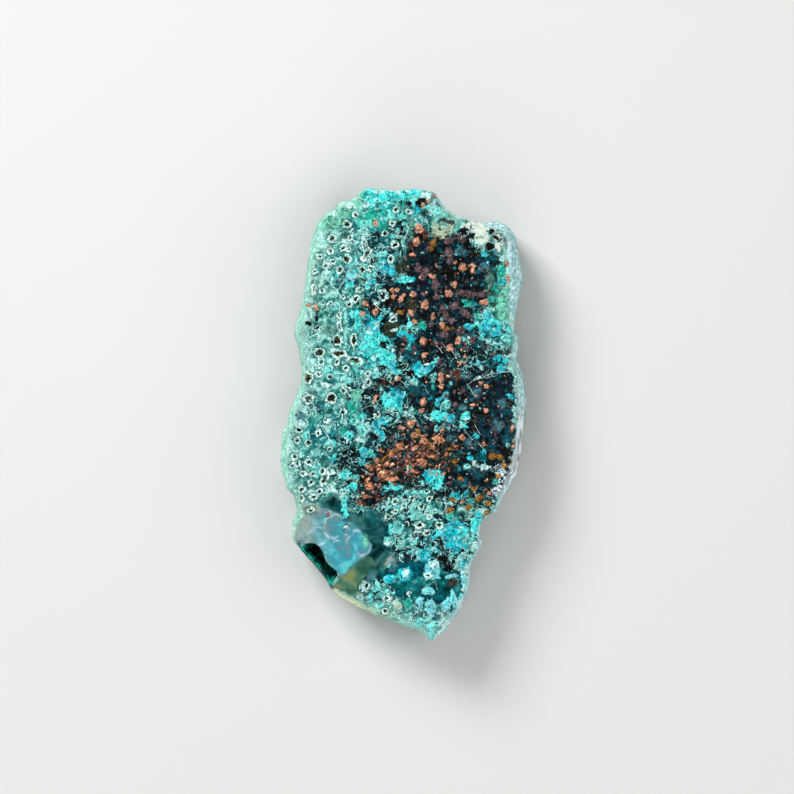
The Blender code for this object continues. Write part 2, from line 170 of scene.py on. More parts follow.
# open tube mouths: x, y, half width, half height, turn
mouths = ovals([
    (-95, 398, 4), (-112, 379, 6, 5), (-141, 350, 6, 4, -15), (-120, 331, 4), (-109, 328, 2.5),
    (-104, 351, 3), (-166, 314, 5, 3), (-140, 304, 4), (-154, 296, 4), (-112, 309, 6), (-175, 284, 3, 2.5),
    (-126, 288, 4, 6, -15), (-145, 325, 4, 4, -30), (-73, 321, 3, 11, -28), (-82, 288, 6, 5, 20),
    (-65, 291, 3.5), (-15, 408, 4), (11, 404, 4, 3), (-23, 380, 4, 3), (-37, 360, 5, 4), (-25, 309, 5),
    (-17, 338, 5), (-192, 246, 4, 5), (-178, 249, 2.5, 6), (-162, 246, 4), (-119, 234, 3), (-87, 248, 5, 3),
    (-95, 231, 6, 4, 30), (-108, 219, 4), (-145, 221, 3), (-127, 196, 2.5, 4), (-127, 176, 2.5, 8),
    (-131, 148, 8, 9), (-99, 149, 5, 10), (-167, 123, 8, 7), (-163, 106, 4), (-129, 122, 13, 6, -10),
    (-132, 103, 4), (-97, 108, 11, 5, -12), (-115, 93, 4, 3), (-147, 75, 4), (-169, 80, 4), (-191, 73, 8, 9),
    (-188, 31, 7, 8, 20), (-143, 34, 8), (-119, 48, 4), (-121, 6, 4, 5), (-71, 82, 4), (-69, 65, 4),
    (-153, -12, 4), (-169, -35, 4), (-209, -30, 4), (-211, -52, 4), (-189, -55, 4), (-146, -67, 4),
    (-217, -84, 4), (-210, -97, 4), (-220, -101, 3), (-188, -94, 5, 4), (-199, -117, 4), (-179, -117, 4),
    (-183, -134, 4), (-202, -148, 5, 4), (-157, -127, 5, 10, -25), (-161, -111, 4), (-167, -152, 4),
    (-179, -164, 5, 4), (-203, -166, 4), (-185, -189, 4, 3), (-21, 189, 5, 4), (-51, 1, 4), (-17, -172, 4),
    (-31, -202, 4), (-17, -192, 3), (1, -181, 3), (17, -166, 4, 3), (35, -182, 4), (45, -152, 3),
    (51, -166, 3, 4), (51, -202, 3), (32, -219, 6, 4), (71, -219, 5, 4), (46, -234, 4), (-74, -339, 5, 4),
    (-33, -365, 5, 4), (-37, -390, 4),
])

# single grains, by colour
copperSpots = ovals([
    (25, -42, 12, 9, 20), (41, -50, 8), (71, -50, 13, 9, -15), (13, -20, 8, 6), (25, -67, 8, 5),
    (39, -94, 14, 7, -10), (55, -82, 10, 5), (-7, -62, 12, 8, 35), (-23, -78, 9, 7, 40), (-45, -70, 5),
    (85, -78, 8, 6), (-71, -102, 8, 6, 30), (-43, -118, 9, 6), (-23, -127, 14, 5, 5), (-67, -142, 9, 13, 30),
    (-75, -162, 10, 6), (-35, -112, 5, 4), (115, -45, 6, 4), (77, -32, 5, 4), (159, -58, 6, 3),
    (1, -39, 6, 5), (57, -65, 6), (19, -111, 7, 4, 30), (9, -92, 6, 4), (-53, -91, 6, 4, 45),
    (103, -62, 6, 4), (-31, -98, 6, 5), (67, -102, 6, 4), (-191, 219, 11, 3, -22), (-174, 214, 4, 8),
    (-57, 380, 6, 7), (39, 418, 5, 4), (51, 425, 4), (63, 435, 4, 3), (31, 372, 8, 10), (25, 344, 6, 8, -20),
    (18, 319, 7, 5), (118, 293, 7, 8), (137, 296, 5), (137, 286, 5, 7), (205, 341, 4, 6, 20), (206, 301, 5),
    (209, 271, 4, 6, 15), (55, 276, 7, 5, -30), (90, 241, 8, 8, 20), (101, 259, 6, 7), (-23, 248, 5),
    (-13, 248, 5, 4), (1, 238, 4), (-7, 229, 4, 6), (-21, 234, 5), (19, 239, 6, 5), (43, 219, 8),
    (58, 194, 5, 8), (15, 202, 7, 6), (21, 186, 5, 6), (38, 147, 6, 9), (109, 147, 6, 8), (92, 133, 8, 7),
    (45, 244, 3), (160, 223, 9, 7), (77, 178, 6, 5), (-76, 221, 6), (-83, 201, 6, 5), (-57, 204, 5, 8, -25),
    (41, 118, 5, 6), (111, 101, 7, 8), (122, 116, 5), (-56, 34, 4, 12, -20), (-10, 72, 6), (39, 26, 8),
    (37, 8, 6), (18, -16, 7, 5), (-3, -26, 8, 6), (75, 73, 6, 10), (75, 55, 5, 6), (153, 63, 5), (165, 55, 5),
    (136, 19, 6, 4), (165, 9, 5), (115, -43, 6, 5), (79, -52, 6), (217, -26, 3, 6), (-149, -199, 4),
])
mauveSpots = ovals([
    (11, -78, 10, 8), (-13, -108, 9, 7), (-5, -92, 7, 5), (93, -137, 6, 5), (133, -138, 3, 9, 20),
    (45, -26, 5, 4), (91, 318, 8, 18, 8), (31, 291, 8), (45, 288, 8, 7), (37, 276, 7, 6), (64, 258, 7, 14),
    (65, 236, 6), (115, 241, 12, 7), (133, 240, 12, 7), (153, 239, 11, 7), (119, 348, 14, 9, -25),
    (92, 346, 9, 7), (50, 330, 6), (122, 202, 14, 7, -35), (103, 216, 8), (113, 166, 9, 8), (80, 159, 9, 8),
    (79, 211, 8), (83, 196, 7), (0, 151, 6), (53, 179, 7, 6), (65, 142, 7, 6), (97, 188, 8, 6),
    (135, 146, 7, 6), (125, 129, 6), (69, 106, 6), (97, 86, 7, 6), (85, 38, 6, 5), (181, -36, 2.5, 16, 10),
    (103, 21, 6), (119, 48, 6, 5), (-3, 128, 6), (21, 132, 5),
])
darkSpots = ovals([
    (1, -57, 5, 6), (53, -42, 6, 5), (-39, -134, 8, 5), (-55, -118, 5, 6), (73, -68, 6, 5), (-3, -118, 9, 4),
    (33, -111, 5), (61, -91, 4), (11, 418, 8, 3, -20), (174, 364, 9, 6), (172, 335, 9, 8),
    (133, 355, 9, 6, -20), (125, 344, 12, 8), (121, 365, 7, 5), (185, 350, 8, 4, -30), (-51, 355, 9, 4),
    (-171, 194, 3, 11, -8), (-189, 181, 8, 4, -25), (-171, 174, 4), (-139, 146, 5, 7),
])
ochreSpots = ovals([
    (29, -36, 5, 9), (91, -67, 8, 4), (-15, -70, 4, 9, -40), (-39, -87, 4, 10, -45), (49, -57, 5, 4),
    (60, 341, 8, 7), (179, -82, 9, 7), (191, -84, 7, 6), (199, -101, 6, 7), (101, -91, 6), (149, -166, 9, 8),
    (91, -189, 9, 6), (129, -184, 8), (165, -194, 7, 6), (113, -127, 6, 5), (137, -148, 8, 6),
    (97, -169, 7, 5), (117, -171, 6, 5), (169, -176, 8, 6), (187, -121, 5, 6), (53, 330, 6, 5),
])

# colours of the small patches, 0 to 255
tones = {
    "T": (92, 236, 232),  # pale turquoise
    "C": (14, 198, 210),  # strong turquoise
    "D": (6, 106, 118),  # deep teal
    "E": (20, 182, 164),  # emerald turquoise
    "K": (5, 10, 14),  # near black
    "N": (14, 52, 66),  # navy
    "W": (208, 248, 242),  # frosty white
    "F": (134, 226, 220),  # pale froth
    "G": (108, 160, 146),  # grey green
    "A": (124, 206, 180),  # mint
    "R": (120, 74, 54),  # rust
    "O": (168, 124, 60),  # ochre
    "L": (74, 80, 58),  # olive
    "S": (208, 216, 204),  # peach cream
    "B": (92, 140, 150),  # grey blue
    "Y": (196, 210, 180),  # green cream
    "U": (82, 82, 80),  # grey brown
    "V": (14, 66, 66),  # bottle green
    "J": (150, 166, 160),  # pale grey
    "I": (128, 214, 220),  # pale blue fingers
    "P": (224, 172, 144),  # copper
    "M": (124, 104, 108),  # mauve
    "Z": (120, 130, 134),  # frost bands
}

# small patches: tone, x, y, half width, half height, turn
patches = [(tone, *oval(*row)) for tone, *row in [
    ("T", -47, 438, 46, 16), ("F", -147, 408, 28, 12, 30), ("C", -75, 435, 5, 9), ("E", -79, 435, 9, 13, 20),
    ("A", -95, 424, 14, 10), ("C", -21, 438, 11, 6), ("E", -63, 398, 22, 9), ("A", -121, 401, 16, 13),
    ("A", -147, 381, 24, 16), ("W", -141, 400, 7, 5), ("W", -109, 418, 8), ("D", -99, 380, 5, 10, 35),
    ("G", -117, 354, 10, 13), ("D", -53, 338, 17), ("E", -41, 378, 12, 11), ("N", -55, 358, 11, 7),
    ("F", -31, 390, 15, 6, 10), ("F", -11, 365, 6, 11), ("F", -21, 344, 6, 14), ("B", -11, 334, 6, 12),
    ("C", -25, 355, 4, 6), ("F", -39, 318, 14, 8), ("D", -29, 306, 12, 10), ("C", -39, 296, 10, 14),
    ("C", -21, 289, 8, 13, -30), ("N", -35, 268, 20, 9), ("F", -75, 278, 16, 10), ("L", -7, 296, 11, 15),
    ("F", -87, 365, 11, 4, -20), ("W", -77, 354, 4, 15, -25), ("F", -101, 344, 12, 11),
    ("D", -85, 306, 8, 4, -20), ("B", -103, 316, 6, 8), ("F", -75, 294, 8, 4), ("C", -95, 288, 4),
    ("F", -53, 296, 10), ("T", -107, 259, 12, 8), ("D", -95, 261, 6, 4), ("C", -133, 274, 6),
    ("B", -125, 264, 8, 10), ("B", -113, 286, 6, 10), ("Y", -191, 294, 5, 30, -8), ("S", -92, 278, 9, 4, -20),
    ("T", 13, 441, 28, 10), ("W", 43, 435, 14, 7), ("E", -7, 418, 9, 10), ("C", 23, 404, 10, 8),
    ("G", 15, 374, 7, 19), ("K", 37, 421, 12, 9), ("N", 43, 401, 7, 9), ("D", 49, 394, 7, 6),
    ("F", 67, 404, 10, 6), ("B", 69, 418, 7), ("A", 87, 398, 14, 8, -20), ("Y", 63, 368, 7, 15),
    ("Y", 79, 361, 13, 14), ("Y", 95, 370, 8, 11), ("U", 79, 385, 10, 5), ("U", 95, 381, 10, 5),
    ("K", 71, 371, 3, 4), ("K", 87, 355, 4, 3), ("E", 105, 371, 4, 8, -30), ("R", 41, 358, 10),
    ("K", 33, 350, 7), ("K", 21, 330, 12), ("R", 15, 335, 7, 6), ("N", 33, 325, 10), ("K", 65, 319, 11, 9),
    ("O", 59, 341, 9, 7), ("V", 15, 306, 10), ("T", 3, 268, 19, 7, 8), ("C", 19, 269, 7, 5),
    ("B", 113, 324, 12, 8), ("D", 127, 334, 8, 7), ("K", 119, 364, 11, 8), ("E", 121, 388, 7, 6),
    ("S", 139, 374, 14, 12), ("S", 149, 358, 14), ("W", 145, 344, 14, 8), ("W", 125, 374, 10, 8),
    ("N", 135, 355, 9, 4), ("K", 137, 331, 18, 5), ("K", 113, 306, 40, 7), ("U", 171, 335, 11, 8),
    ("U", 173, 364, 10, 5), ("U", 187, 354, 11, 6, 30), ("F", 183, 375, 20, 9), ("W", 167, 390, 24, 5),
    ("F", 213, 350, 11, 18), ("B", 189, 330, 8, 13), ("D", 177, 311, 10, 8), ("F", 171, 304, 8, 4),
    ("E", 193, 286, 8, 13), ("C", 193, 264, 8, 10), ("V", 119, 269, 11, 8), ("N", 153, 286, 12),
    ("G", 171, 271, 9), ("K", 103, 279, 36, 20), ("F", 225, 294, 8, 40), ("G", 177, 246, 16, 18),
    ("A", 199, 226, 11, 18), ("Y", 205, 216, 6, 8), ("L", 187, 216, 9, 8), ("A", 199, 198, 13, 10),
    ("A", 213, 229, 7, 22), ("T", -91, 178, 7, 18, 5), ("C", -73, 186, 7, 16, -10), ("C", -57, 164, 12, 26),
    ("T", -39, 152, 14, 7), ("T", -57, 138, 34, 14), ("T", -63, 153, 15, 13), ("T", -89, 194, 8, 15, 5),
    ("C", -45, 188, 7, 13, -20), ("T", -27, 116, 12, 8, -30), ("T", -75, 122, 10, 8),
    ("T", -35, 113, 22, 14, -35), ("C", -19, 96, 14, 8, -40), ("T", -13, 83, 6, 5), ("W", -67, 166, 6, 7),
    ("W", -53, 178, 9, 4, 30), ("F", -37, 206, 8, 13, -25), ("F", -23, 133, 8, 9), ("K", -37, 138, 8, 9),
    ("K", -13, 129, 6, 22), ("W", -21, 128, 5, 6), ("K", -25, 178, 22, 24), ("L", -23, 171, 16),
    ("L", 15, 219, 14, 10), ("O", -7, 204, 9, 5), ("W", -19, 168, 6, 4), ("W", -21, 194, 9, 8),
    ("F", 1, 169, 10, 9), ("T", 11, 179, 6, 10, -15), ("B", 17, 159, 9, 11), ("C", 15, 138, 7, 8),
    ("E", 7, 132, 5, 7), ("D", 5, 118, 6, 11), ("E", 37, 178, 10, 9, 15), ("D", 23, 129, 12, 14),
    ("D", 21, 109, 9, 15), ("C", 29, 93, 10, 14), ("T", 35, 83, 10, 7), ("C", 53, 96, 23, 8, 35),
    ("T", 67, 109, 7, 7, 35), ("F", 21, 65, 10, 9), ("F", 59, 73, 7, 11), ("E", 59, 55, 5, 6),
    ("B", 3, 65, 10, 8), ("N", -13, 58, 12, 10), ("D", 19, 48, 14, 10), ("D", 41, 45, 10, 9),
    ("C", -13, 40, 18, 14), ("D", -3, 53, 10, 8), ("C", 1, 42, 4), ("T", -35, 35, 7, 12),
    ("F", -91, 106, 17, 9), ("F", -75, 82, 9), ("F", -59, 80, 8), ("W", -75, 62, 13, 10),
    ("B", -95, 60, 14, 16), ("W", -75, 35, 7, 6), ("K", -35, 65, 16, 9), ("K", 49, 138, 16),
    ("K", 1, 98, 14, 9), ("K", 43, 70, 10, 9), ("K", -31, 224, 9, 16), ("W", -41, 238, 10, 12),
    ("N", -41, 238, 5, 6), ("W", -55, 221, 9, 2.5, -45), ("E", 123, 221, 12, 9), ("K", 113, 219, 8, 6),
    ("E", 147, 196, 9, 8), ("C", 165, 198, 9), ("T", 177, 181, 16, 10), ("C", 163, 176, 14, 9),
    ("T", 157, 158, 6, 9), ("C", 183, 166, 13, 12), ("F", 199, 179, 9, 8), ("D", 203, 164, 8, 6),
    ("T", 211, 169, 8), ("F", 227, 166, 7, 16), ("W", 199, 146, 10, 3.5, 20), ("G", 211, 138, 9, 11),
    ("C", 129, 176, 8, 7), ("F", 125, 152, 9), ("D", 133, 161, 7, 6), ("D", 149, 139, 12, 10),
    ("N", 141, 123, 9, 10), ("C", 187, 113, 10, 7, 30), ("C", 149, 106, 6), ("W", 155, 93, 2.5, 9, 15),
    ("D", 169, 102, 14, 12), ("C", 193, 92, 11, 8), ("C", 203, 106, 6, 7), ("C", 193, 75, 4, 6),
    ("U", 169, 133, 11, 5), ("U", 205, 126, 10, 6, -30), ("W", 149, 73, 7, 2, 28), ("W", 177, 82, 8, 2, 12),
    ("N", 203, 60, 16, 20), ("N", 183, 40, 20, 12), ("C", 209, 38, 9, 4, -20), ("U", 81, 89, 11, 14),
    ("R", 105, 80, 11, 12), ("B", 145, 45, 10, 11), ("C", 81, 38, 13, 6, 35), ("O", 87, 171, 14, 3),
    ("D", 163, 159, 5, 6), ("T", 143, 179, 6, 5), ("W", -111, 50, 9), ("A", -97, 38, 11, 15),
    ("E", -101, 18, 13, 12), ("E", -95, -2, 10), ("T", -79, -2, 7, 6), ("F", -97, -16, 9, 6),
    ("K", -73, 16, 10, 9), ("F", -83, -30, 9, 14), ("W", -83, -50, 13, 5), ("B", -65, -50, 11, 17),
    ("C", -55, -19, 9, 8), ("C", -41, -11, 9, 11), ("F", -29, -8, 9, 6), ("T", -19, 24, 20, 14),
    ("C", -5, 30, 9, 8), ("T", -11, 14, 12, 8), ("W", -21, 8, 9, 3), ("W", -51, 1, 7, 4),
    ("C", -43, -32, 11, 8), ("C", -41, -45, 6, 7), ("N", -35, -39, 4, 5), ("C", -79, -75, 9, 14),
    ("C", -83, -94, 8, 9), ("T", -65, -75, 8), ("F", -57, -84, 5, 4), ("K", -107, -77, 15, 11),
    ("K", -101, -102, 12, 11), ("K", -57, -45, 7, 6, -40), ("T", -115, -118, 7, 13, -35),
    ("F", -95, -127, 12, 10), ("T", -103, -144, 11, 10), ("F", -117, -151, 8, 9),
    ("W", -75, -114, 10, 2, -30), ("T", -143, -57, 12, 9), ("D", -25, -58, 10, 5, 30), ("D", -5, -42, 8, 6),
    ("K", -3, -32, 6, 9), ("K", -71, -152, 6, 10), ("K", -81, -131, 5, 18), ("K", -23, -36, 10, 5),
    ("K", -25, -25, 14, 7), ("T", -19, -144, 26, 6, 5), ("T", -23, -138, 9, 4), ("E", 13, -107, 5),
    ("V", 19, -138, 14, 11), ("D", -1, -132, 9), ("C", 53, -121, 15, 14), ("T", 63, -137, 11),
    ("F", 39, -137, 6, 8), ("F", 43, -154, 11, 8), ("B", 57, -97, 8), ("W", 13, -2, 12, 2, -35),
    ("W", 49, -7, 10, 2, -35), ("K", -27, -164, 14, 8), ("C", 67, 25, 6, 7), ("F", 81, 14, 10),
    ("T", 69, -1, 15, 11), ("C", 93, -5, 13, 8), ("T", 123, -2, 10, 9), ("W", 125, -8, 6, 3),
    ("T", 119, -19, 7, 8), ("D", 109, 3, 8), ("B", 93, -22, 11, 9), ("F", 67, -26, 7, 6),
    ("K", 107, 38, 16, 18), ("K", 143, -1, 8, 13), ("K", 135, -25, 11, 9), ("C", 159, -78, 6, 16),
    ("W", 143, -97, 10, 5, -35), ("W", 161, -104, 11, 5), ("D", 149, -118, 11, 8), ("D", 105, -77, 7, 6),
    ("T", 63, -118, 17, 10, -30), ("T", 69, -138, 8, 12), ("T", 79, -124, 4, 9, -20), ("C", 105, -161, 15, 8),
    ("T", 97, -172, 9, 4, 20), ("C", 125, -157, 6, 10), ("E", 133, -171, 8, 6), ("E", 163, -176, 6, 5),
    ("E", 137, -194, 10, 6), ("C", 149, -199, 8, 6), ("V", 117, -202, 9, 10), ("E", 93, -202, 9),
    ("T", 145, -209, 13, 6), ("E", 183, -174, 9, 5, -40), ("A", 187, -186, 8), ("K", 143, -181, 12, 6),
    ("E", 183, -132, 8), ("N", 169, -138, 8), ("B", 193, 21, 12, 10), ("D", 203, -1, 12),
    ("N", 183, 6, 14, 12), ("N", 205, -12, 14, 11), ("D", 213, -32, 10, 12), ("L", 217, -57, 7, 9),
    ("S", 221, -88, 6), ("S", 217, -102, 6, 8), ("Z", 191, -108, 12), ("Z", 201, -131, 14, 20, -25),
    ("Z", 187, -151, 14, 10), ("D", 117, -134, 14, 10), ("D", 139, -111, 8, 6), ("B", 75, -152, 9, 7),
    ("K", 85, -157, 7, 5), ("J", -215, -229, 12, 24), ("J", -195, -246, 10, 6), ("J", -195, -211, 12, 20),
    ("A", -75, -252, 6, 10), ("F", -118, -166, 7, 20), ("T", -116, -186, 6, 18), ("W", -121, -154, 6, 8),
    ("W", -115, -224, 4), ("R", -149, -198, 4.5), ("D", -59, -201, 5, 15, 25), ("W", -73, -339, 13, 12),
    ("V", -73, -339, 5), ("T", -64, -360, 10, 6), ("C", -65, -372, 7, 4), ("F", -55, -342, 10, 12),
    ("B", -65, -326, 10, 14), ("F", -31, -186, 6, 18), ("F", -17, -181, 12, 14), ("K", -25, -194, 5, 8),
    ("F", 1, -179, 8), ("C", -25, -226, 4, 14), ("F", -27, -251, 11, 10), ("W", -31, -256, 6, 5),
    ("F", -13, -222, 14, 17), ("L", 5, -192, 11, 8), ("F", 23, -191, 15, 22), ("W", 27, -229, 12, 8),
    ("K", 31, -219, 6, 3, 20), ("K", 19, -229, 5, 3, -20), ("W", 51, -199, 10, 9), ("W", 47, -234, 6, 5),
    ("C", 57, -242, 9, 8), ("T", 67, -232, 8, 10), ("C", 103, -239, 30), ("T", 145, -221, 14, 17),
    ("F", 139, -261, 15, 10), ("T", 117, -232, 10), ("D", 43, -251, 16, 12), ("F", 25, -252, 7, 9),
    ("I", 17, -274, 14, 9), ("I", 41, -274, 22, 9, 8), ("T", 61, -266, 10, 8), ("K", 85, -291, 20, 9, -10),
    ("W", 66, -289, 4.5), ("I", 53, -306, 18, 24, 38), ("I", 37, -304, 4, 5), ("K", 89, -304, 11, 9),
    ("U", 99, -332, 12, 9), ("I", 97, -319, 14, 5, 18), ("I", 125, -320, 12, 26), ("C", 117, -296, 7, 6),
    ("I", 117, -366, 8, 10), ("D", 17, -302, 26), ("C", 3, -316, 15), ("W", 5, -314, 7, 8, -10),
    ("B", -21, -291, 10, 20), ("F", -31, -299, 4, 7), ("E", -13, -320, 4, 5), ("R", 39, -346, 5),
    ("W", 9, -354, 4), ("I", 33, -376, 7, 17), ("I", 53, -382, 11, 17), ("I", 83, -376, 9, 17),
    ("I", 99, -365, 8, 18, 10), ("F", 51, -402, 9, 6), ("D", 67, -402, 9), ("W", -33, -366, 11, 12),
    ("V", -33, -366, 4, 5), ("Y", -11, -379, 10, 9), ("F", -47, -379, 8), ("Y", -39, -395, 12, 7),
    ("F", 33, -412, 11, 10), ("F", 57, -422, 13, 12), ("F", 59, -442, 11, 8), ("W", 87, -416, 14, 6, 35),
    ("F", 13, -392, 6), ("E", 9, -375, 9, 13), ("D", -7, -352, 10, 8), ("D", 73, -359, 12),
    ("E", -127, 40, 6), ("B", -205, -1, 8, 12), ("G", -147, 169, 14, 10), ("C", -167, 289, 3),
    ("F", -103, 164, 8, 6), ("E", -121, -30, 9, 8), ("T", -131, -81, 9, 8), ("T", -111, -42, 10),
    ("C", -141, -91, 8, 6), ("W", -141, 34, 9, 8), ("L", -143, 34, 4), ("W", -189, 31, 10, 9),
    ("L", -191, 73, 8, 9), ("L", -131, 148, 7), ("D", -107, 184, 5, 12, 20), ("T", -103, 201, 5, 8),
    ("K", -63, 199, 4, 6), ("C", -63, 264, 10, 8), ("T", -73, 256, 6, 10), ("W", -37, 444, 24, 5),
    ("W", -75, 418, 7, 6), ("C", -3, 161, 9), ("F", 209, 153, 14, 12), ("F", -147, 83, 14, 10),
    ("W", -155, 60, 11, 6), ("F", -107, 68, 14, 8), ("K", -31, 73, 14, 9), ("D", -75, 186, 8, 10),
    ("K", 1, -11, 12, 9), ("K", 11, -25, 8, 6), ("K", -115, -81, 16, 14), ("K", -67, -171, 14),
    ("K", 85, -282, 12, 8), ("W", 7, -169, 10, 6), ("F", 15, -157, 14, 9), ("C", 133, -87, 6, 5),
    ("F", 125, -102, 9, 6), ("S", 167, 368, 20, 8), ("S", 187, 335, 7, 12), ("D", 169, 306, 12, 8),
    ("C", 161, 318, 8, 6), ("D", 209, -47, 12, 10), ("F", 133, -246, 20, 10), ("C", 41, -286, 14, 8),
    ("F", 133, -336, 9, 16), ("C", -27, -325, 12, 9), ("F", -31, -355, 12, 8), ("I", 49, -350, 12, 8),
    ("W", -151, 298, 12, 8), ("F", -103, 306, 14, 12), ("W", -111, 341, 10, 9), ("I", -103, 276, 12),
    ("F", -115, 191, 5, 14), ("F", -135, 214, 14, 8), ("W", -191, 264, 8, 16), ("W", -147, -111, 12, 8),
    ("F", -191, -47, 8, 16), ("W", -207, -19, 10, 8), ("F", -171, -111, 12, 16), ("W", -181, -154, 9, 6),
    ("J", -207, 118, 8, 16), ("W", -215, 142, 6, 10), ("C", 9, 153, 12, 8), ("F", 23, 168, 7, 9),
    ("T", -15, 435, 26, 10), ("W", -3, 444, 16, 5), ("K", -31, 68, 18, 13), ("B", 133, 341, 9, 8),
    ("U", 103, 355, 10, 6), ("B", 161, 294, 14, 10), ("K", -53, -57, 10, 8), ("K", -35, -26, 12, 7),
    ("F", 87, 21, 7, 9), ("B", 125, 78, 12, 8), ("C", 41, -271, 12, 7), ("B", 133, -55, 14, 12),
    ("B", 185, -22, 13, 14), ("D", 153, -82, 11, 9), ("B", 97, -47, 10, 7), ("D", 175, -62, 8, 12),
    ("B", 117, 14, 9), ("C", 145, -42, 5, 7, 30), ("S", 145, 378, 26, 12), ("S", 157, 350, 12, 14),
    ("S", 187, 350, 9, 8), ("W", 193, 374, 14, 5, -30), ("E", 193, 281, 9, 16), ("A", 203, 246, 11, 14),
    ("E", 183, 249, 6, 9), ("A", 195, 214, 12, 10), ("E", 173, 229, 8), ("F", 209, 226, 5, 9),
    ("N", 67, 271, 14, 10), ("N", 133, 306, 12, 8), ("K", 97, 294, 12, 9), ("J", -29, -291, 6, 14, -35),
    ("K", 73, -286, 20, 6, -10), ("W", 143, -264, 8, 14), ("W", 127, -312, 8, 12), ("W", 121, -346, 5, 8),
    ("W", 109, -376, 5, 8), ("F", 135, -291, 9, 12), ("W", 61, -299, 10, 6, -20), ("W", 49, -320, 8),
    ("J", -187, -186, 24, 12),
]]

# broad soft colours beneath the rest: x, y, half width, half height, red, green, blue
washBase = (96, 178, 168)
washes = [(oval(*row[:4]), row[4:]) for row in [
    (-23, 425, 68, 26, 124, 250, 246), (-107, 410, 32, 26, 130, 230, 206), (-47, 380, 52, 24, 60, 210, 198),
    (-151, 330, 36, 72, 164, 222, 210), (-185, 274, 18, 68, 120, 168, 150), (-55, 338, 28, 30, 50, 160, 172),
    (-31, 289, 36, 32, 50, 176, 186), (-155, 186, 44, 44, 124, 184, 172), (-197, 118, 26, 44, 136, 194, 180),
    (-135, 102, 48, 36, 142, 212, 206), (-51, 149, 48, 52, 50, 208, 216), (-83, -7, 48, 40, 28, 140, 148),
    (-155, -39, 44, 44, 36, 150, 152), (-107, -87, 32, 44, 10, 70, 74), (-225, -30, 20, 68, 116, 176, 164),
    (-171, -134, 36, 44, 126, 176, 166), (-103, -154, 28, 40, 34, 116, 118), (-35, -171, 28, 32, 16, 66, 70),
    (25, -194, 56, 40, 112, 190, 188), (133, -171, 52, 32, 8, 52, 56), (93, -246, 60, 32, 60, 214, 222),
    (203, 226, 24, 64, 74, 204, 174), (183, 158, 44, 40, 30, 164, 168), (225, 330, 18, 80, 150, 202, 198),
    (93, -302, 32, 24, 20, 104, 114), (65, -415, 56, 28, 56, 146, 148), (-63, -375, 44, 24, 84, 162, 150),
    (5, -355, 52, 32, 24, 146, 150), (141, -274, 28, 32, 92, 188, 188), (-167, 30, 40, 28, 128, 190, 184),
]]

# ground broken into clumps and gaps
brokenGround = ovals([
    (29, -186, 84, 44), (117, -182, 80, 44), (103, -251, 76, 48), (-103, -94, 44, 66), (-35, 25, 50, 60),
    (-87, 50, 40, 30), (-19, 86, 40), (17, -261, 50, 30), (-83, -171, 26, 30), (-31, -42, 50, 30, 20),
    (73, -11, 70, 26), (133, 109, 60, 30, 20), (-47, -350, 40, 26), (-17, 350, 30, 50), (-63, 306, 34, 50),
    (117, -291, 40), (43, -141, 60, 26),
])

# pale ridges between two places, and their half width
threads = tenths([
    (-119, 264, -139, 234, 1), (-77, 350, -59, 306, 0.9), (-85, 344, -69, 306, 0.9),
    (-167, 340, -145, 325, 1.2), (-63, 224, -45, 209, 0.8), (65, 139, 77, 123, 0.7), (97, 126, 107, 109, 0.7),
    (77, 143, 87, 129, 0.5), (3, 6, 23, -8, 0.9), (39, -1, 57, -12, 0.9), (139, 68, 167, 80, 0.6),
    (167, 80, 209, 86, 0.5), (145, 70, 169, 88, 0.4), (153, 72, 185, 78, 0.4), (129, 60, 145, 75, 0.4),
    (165, 72, 197, 92, 0.3), (-83, -108, -65, -118, 0.7), (-161, -26, -139, -60, 1.3),
    (-37, 75, -23, 75, 0.5), (-7, 70, 9, 53, 0.5), (125, 62, 137, 45, 0.5), (133, 53, 141, 38, 0.5),
    (141, -20, 153, -39, 0.6), (121, -30, 137, -50, 0.6), (149, -55, 157, -67, 0.5), (17, 80, 29, 58, 0.6),
    (-15, 45, 1, 34, 0.4), (41, 58, 49, 42, 0.4), (-95, 306, -83, 294, 0.8), (-107, 365, -79, 350, 0.9),
    (-125, 294, -111, 278, 0.8), (-155, 274, -119, 229, 0.9), (-127, 218, -125, 166, 0.9),
    (-181, 31, -173, 1, 0.8), (-195, 38, -179, 21, 0.8), (-125, 206, -135, 186, 0.6),
    (65, -171, 97, -179, 0.7), (161, -94, 165, -111, 0.8), (25, -171, 9, -194, 0.8),
    (-31, -174, -39, -211, 0.8), (-3, -162, 13, -186, 0.6), (43, -339, 63, -332, 0.4),
    (63, -332, 67, -346, 0.4), (177, -111, 193, -122, 0.5), (189, -138, 209, -147, 0.5),
    (181, -154, 197, -164, 0.5), (-105, 358, -95, 338, 0.9), (-93, 368, -71, 348, 0.8),
    (-83, 338, -75, 314, 1.4), (-75, 298, -55, 291, 1), (-53, 318, -37, 325, 0.8), (-101, 286, -79, 271, 0.9),
    (-151, 153, -139, 133, 0.9), (-121, 153, -125, 133, 0.8), (-125, 63, -107, 38, 1.2),
    (-203, 48, -171, 34, 1), (-83, 88, -63, 62, 0.9), (-63, 88, -79, 65, 0.8),
])

# round chalcedony bodies: x, y, radius
lobes = tenths([
    (-195, -220, 22), (-163, -211, 24), (-170, -243, 19), (-132, -222, 26), (-121, -259, 22), (-89, -257, 27),
    (-124, -285, 36),
])

raisedTones = "TCEWFAYSI"
grainTones = "PMO"
sunkTones = "KNV"
smoothTones = "VJS"
softTones = "AGEDBYSLVJN"
crustTones = "TCEWIPMO"
singles = {"P": copperSpots, "M": mauveSpots, "K": darkSpots, "O": ochreSpots}
grainPatches = [(tone, *spot) for tone, spots in singles.items() for spot in spots]

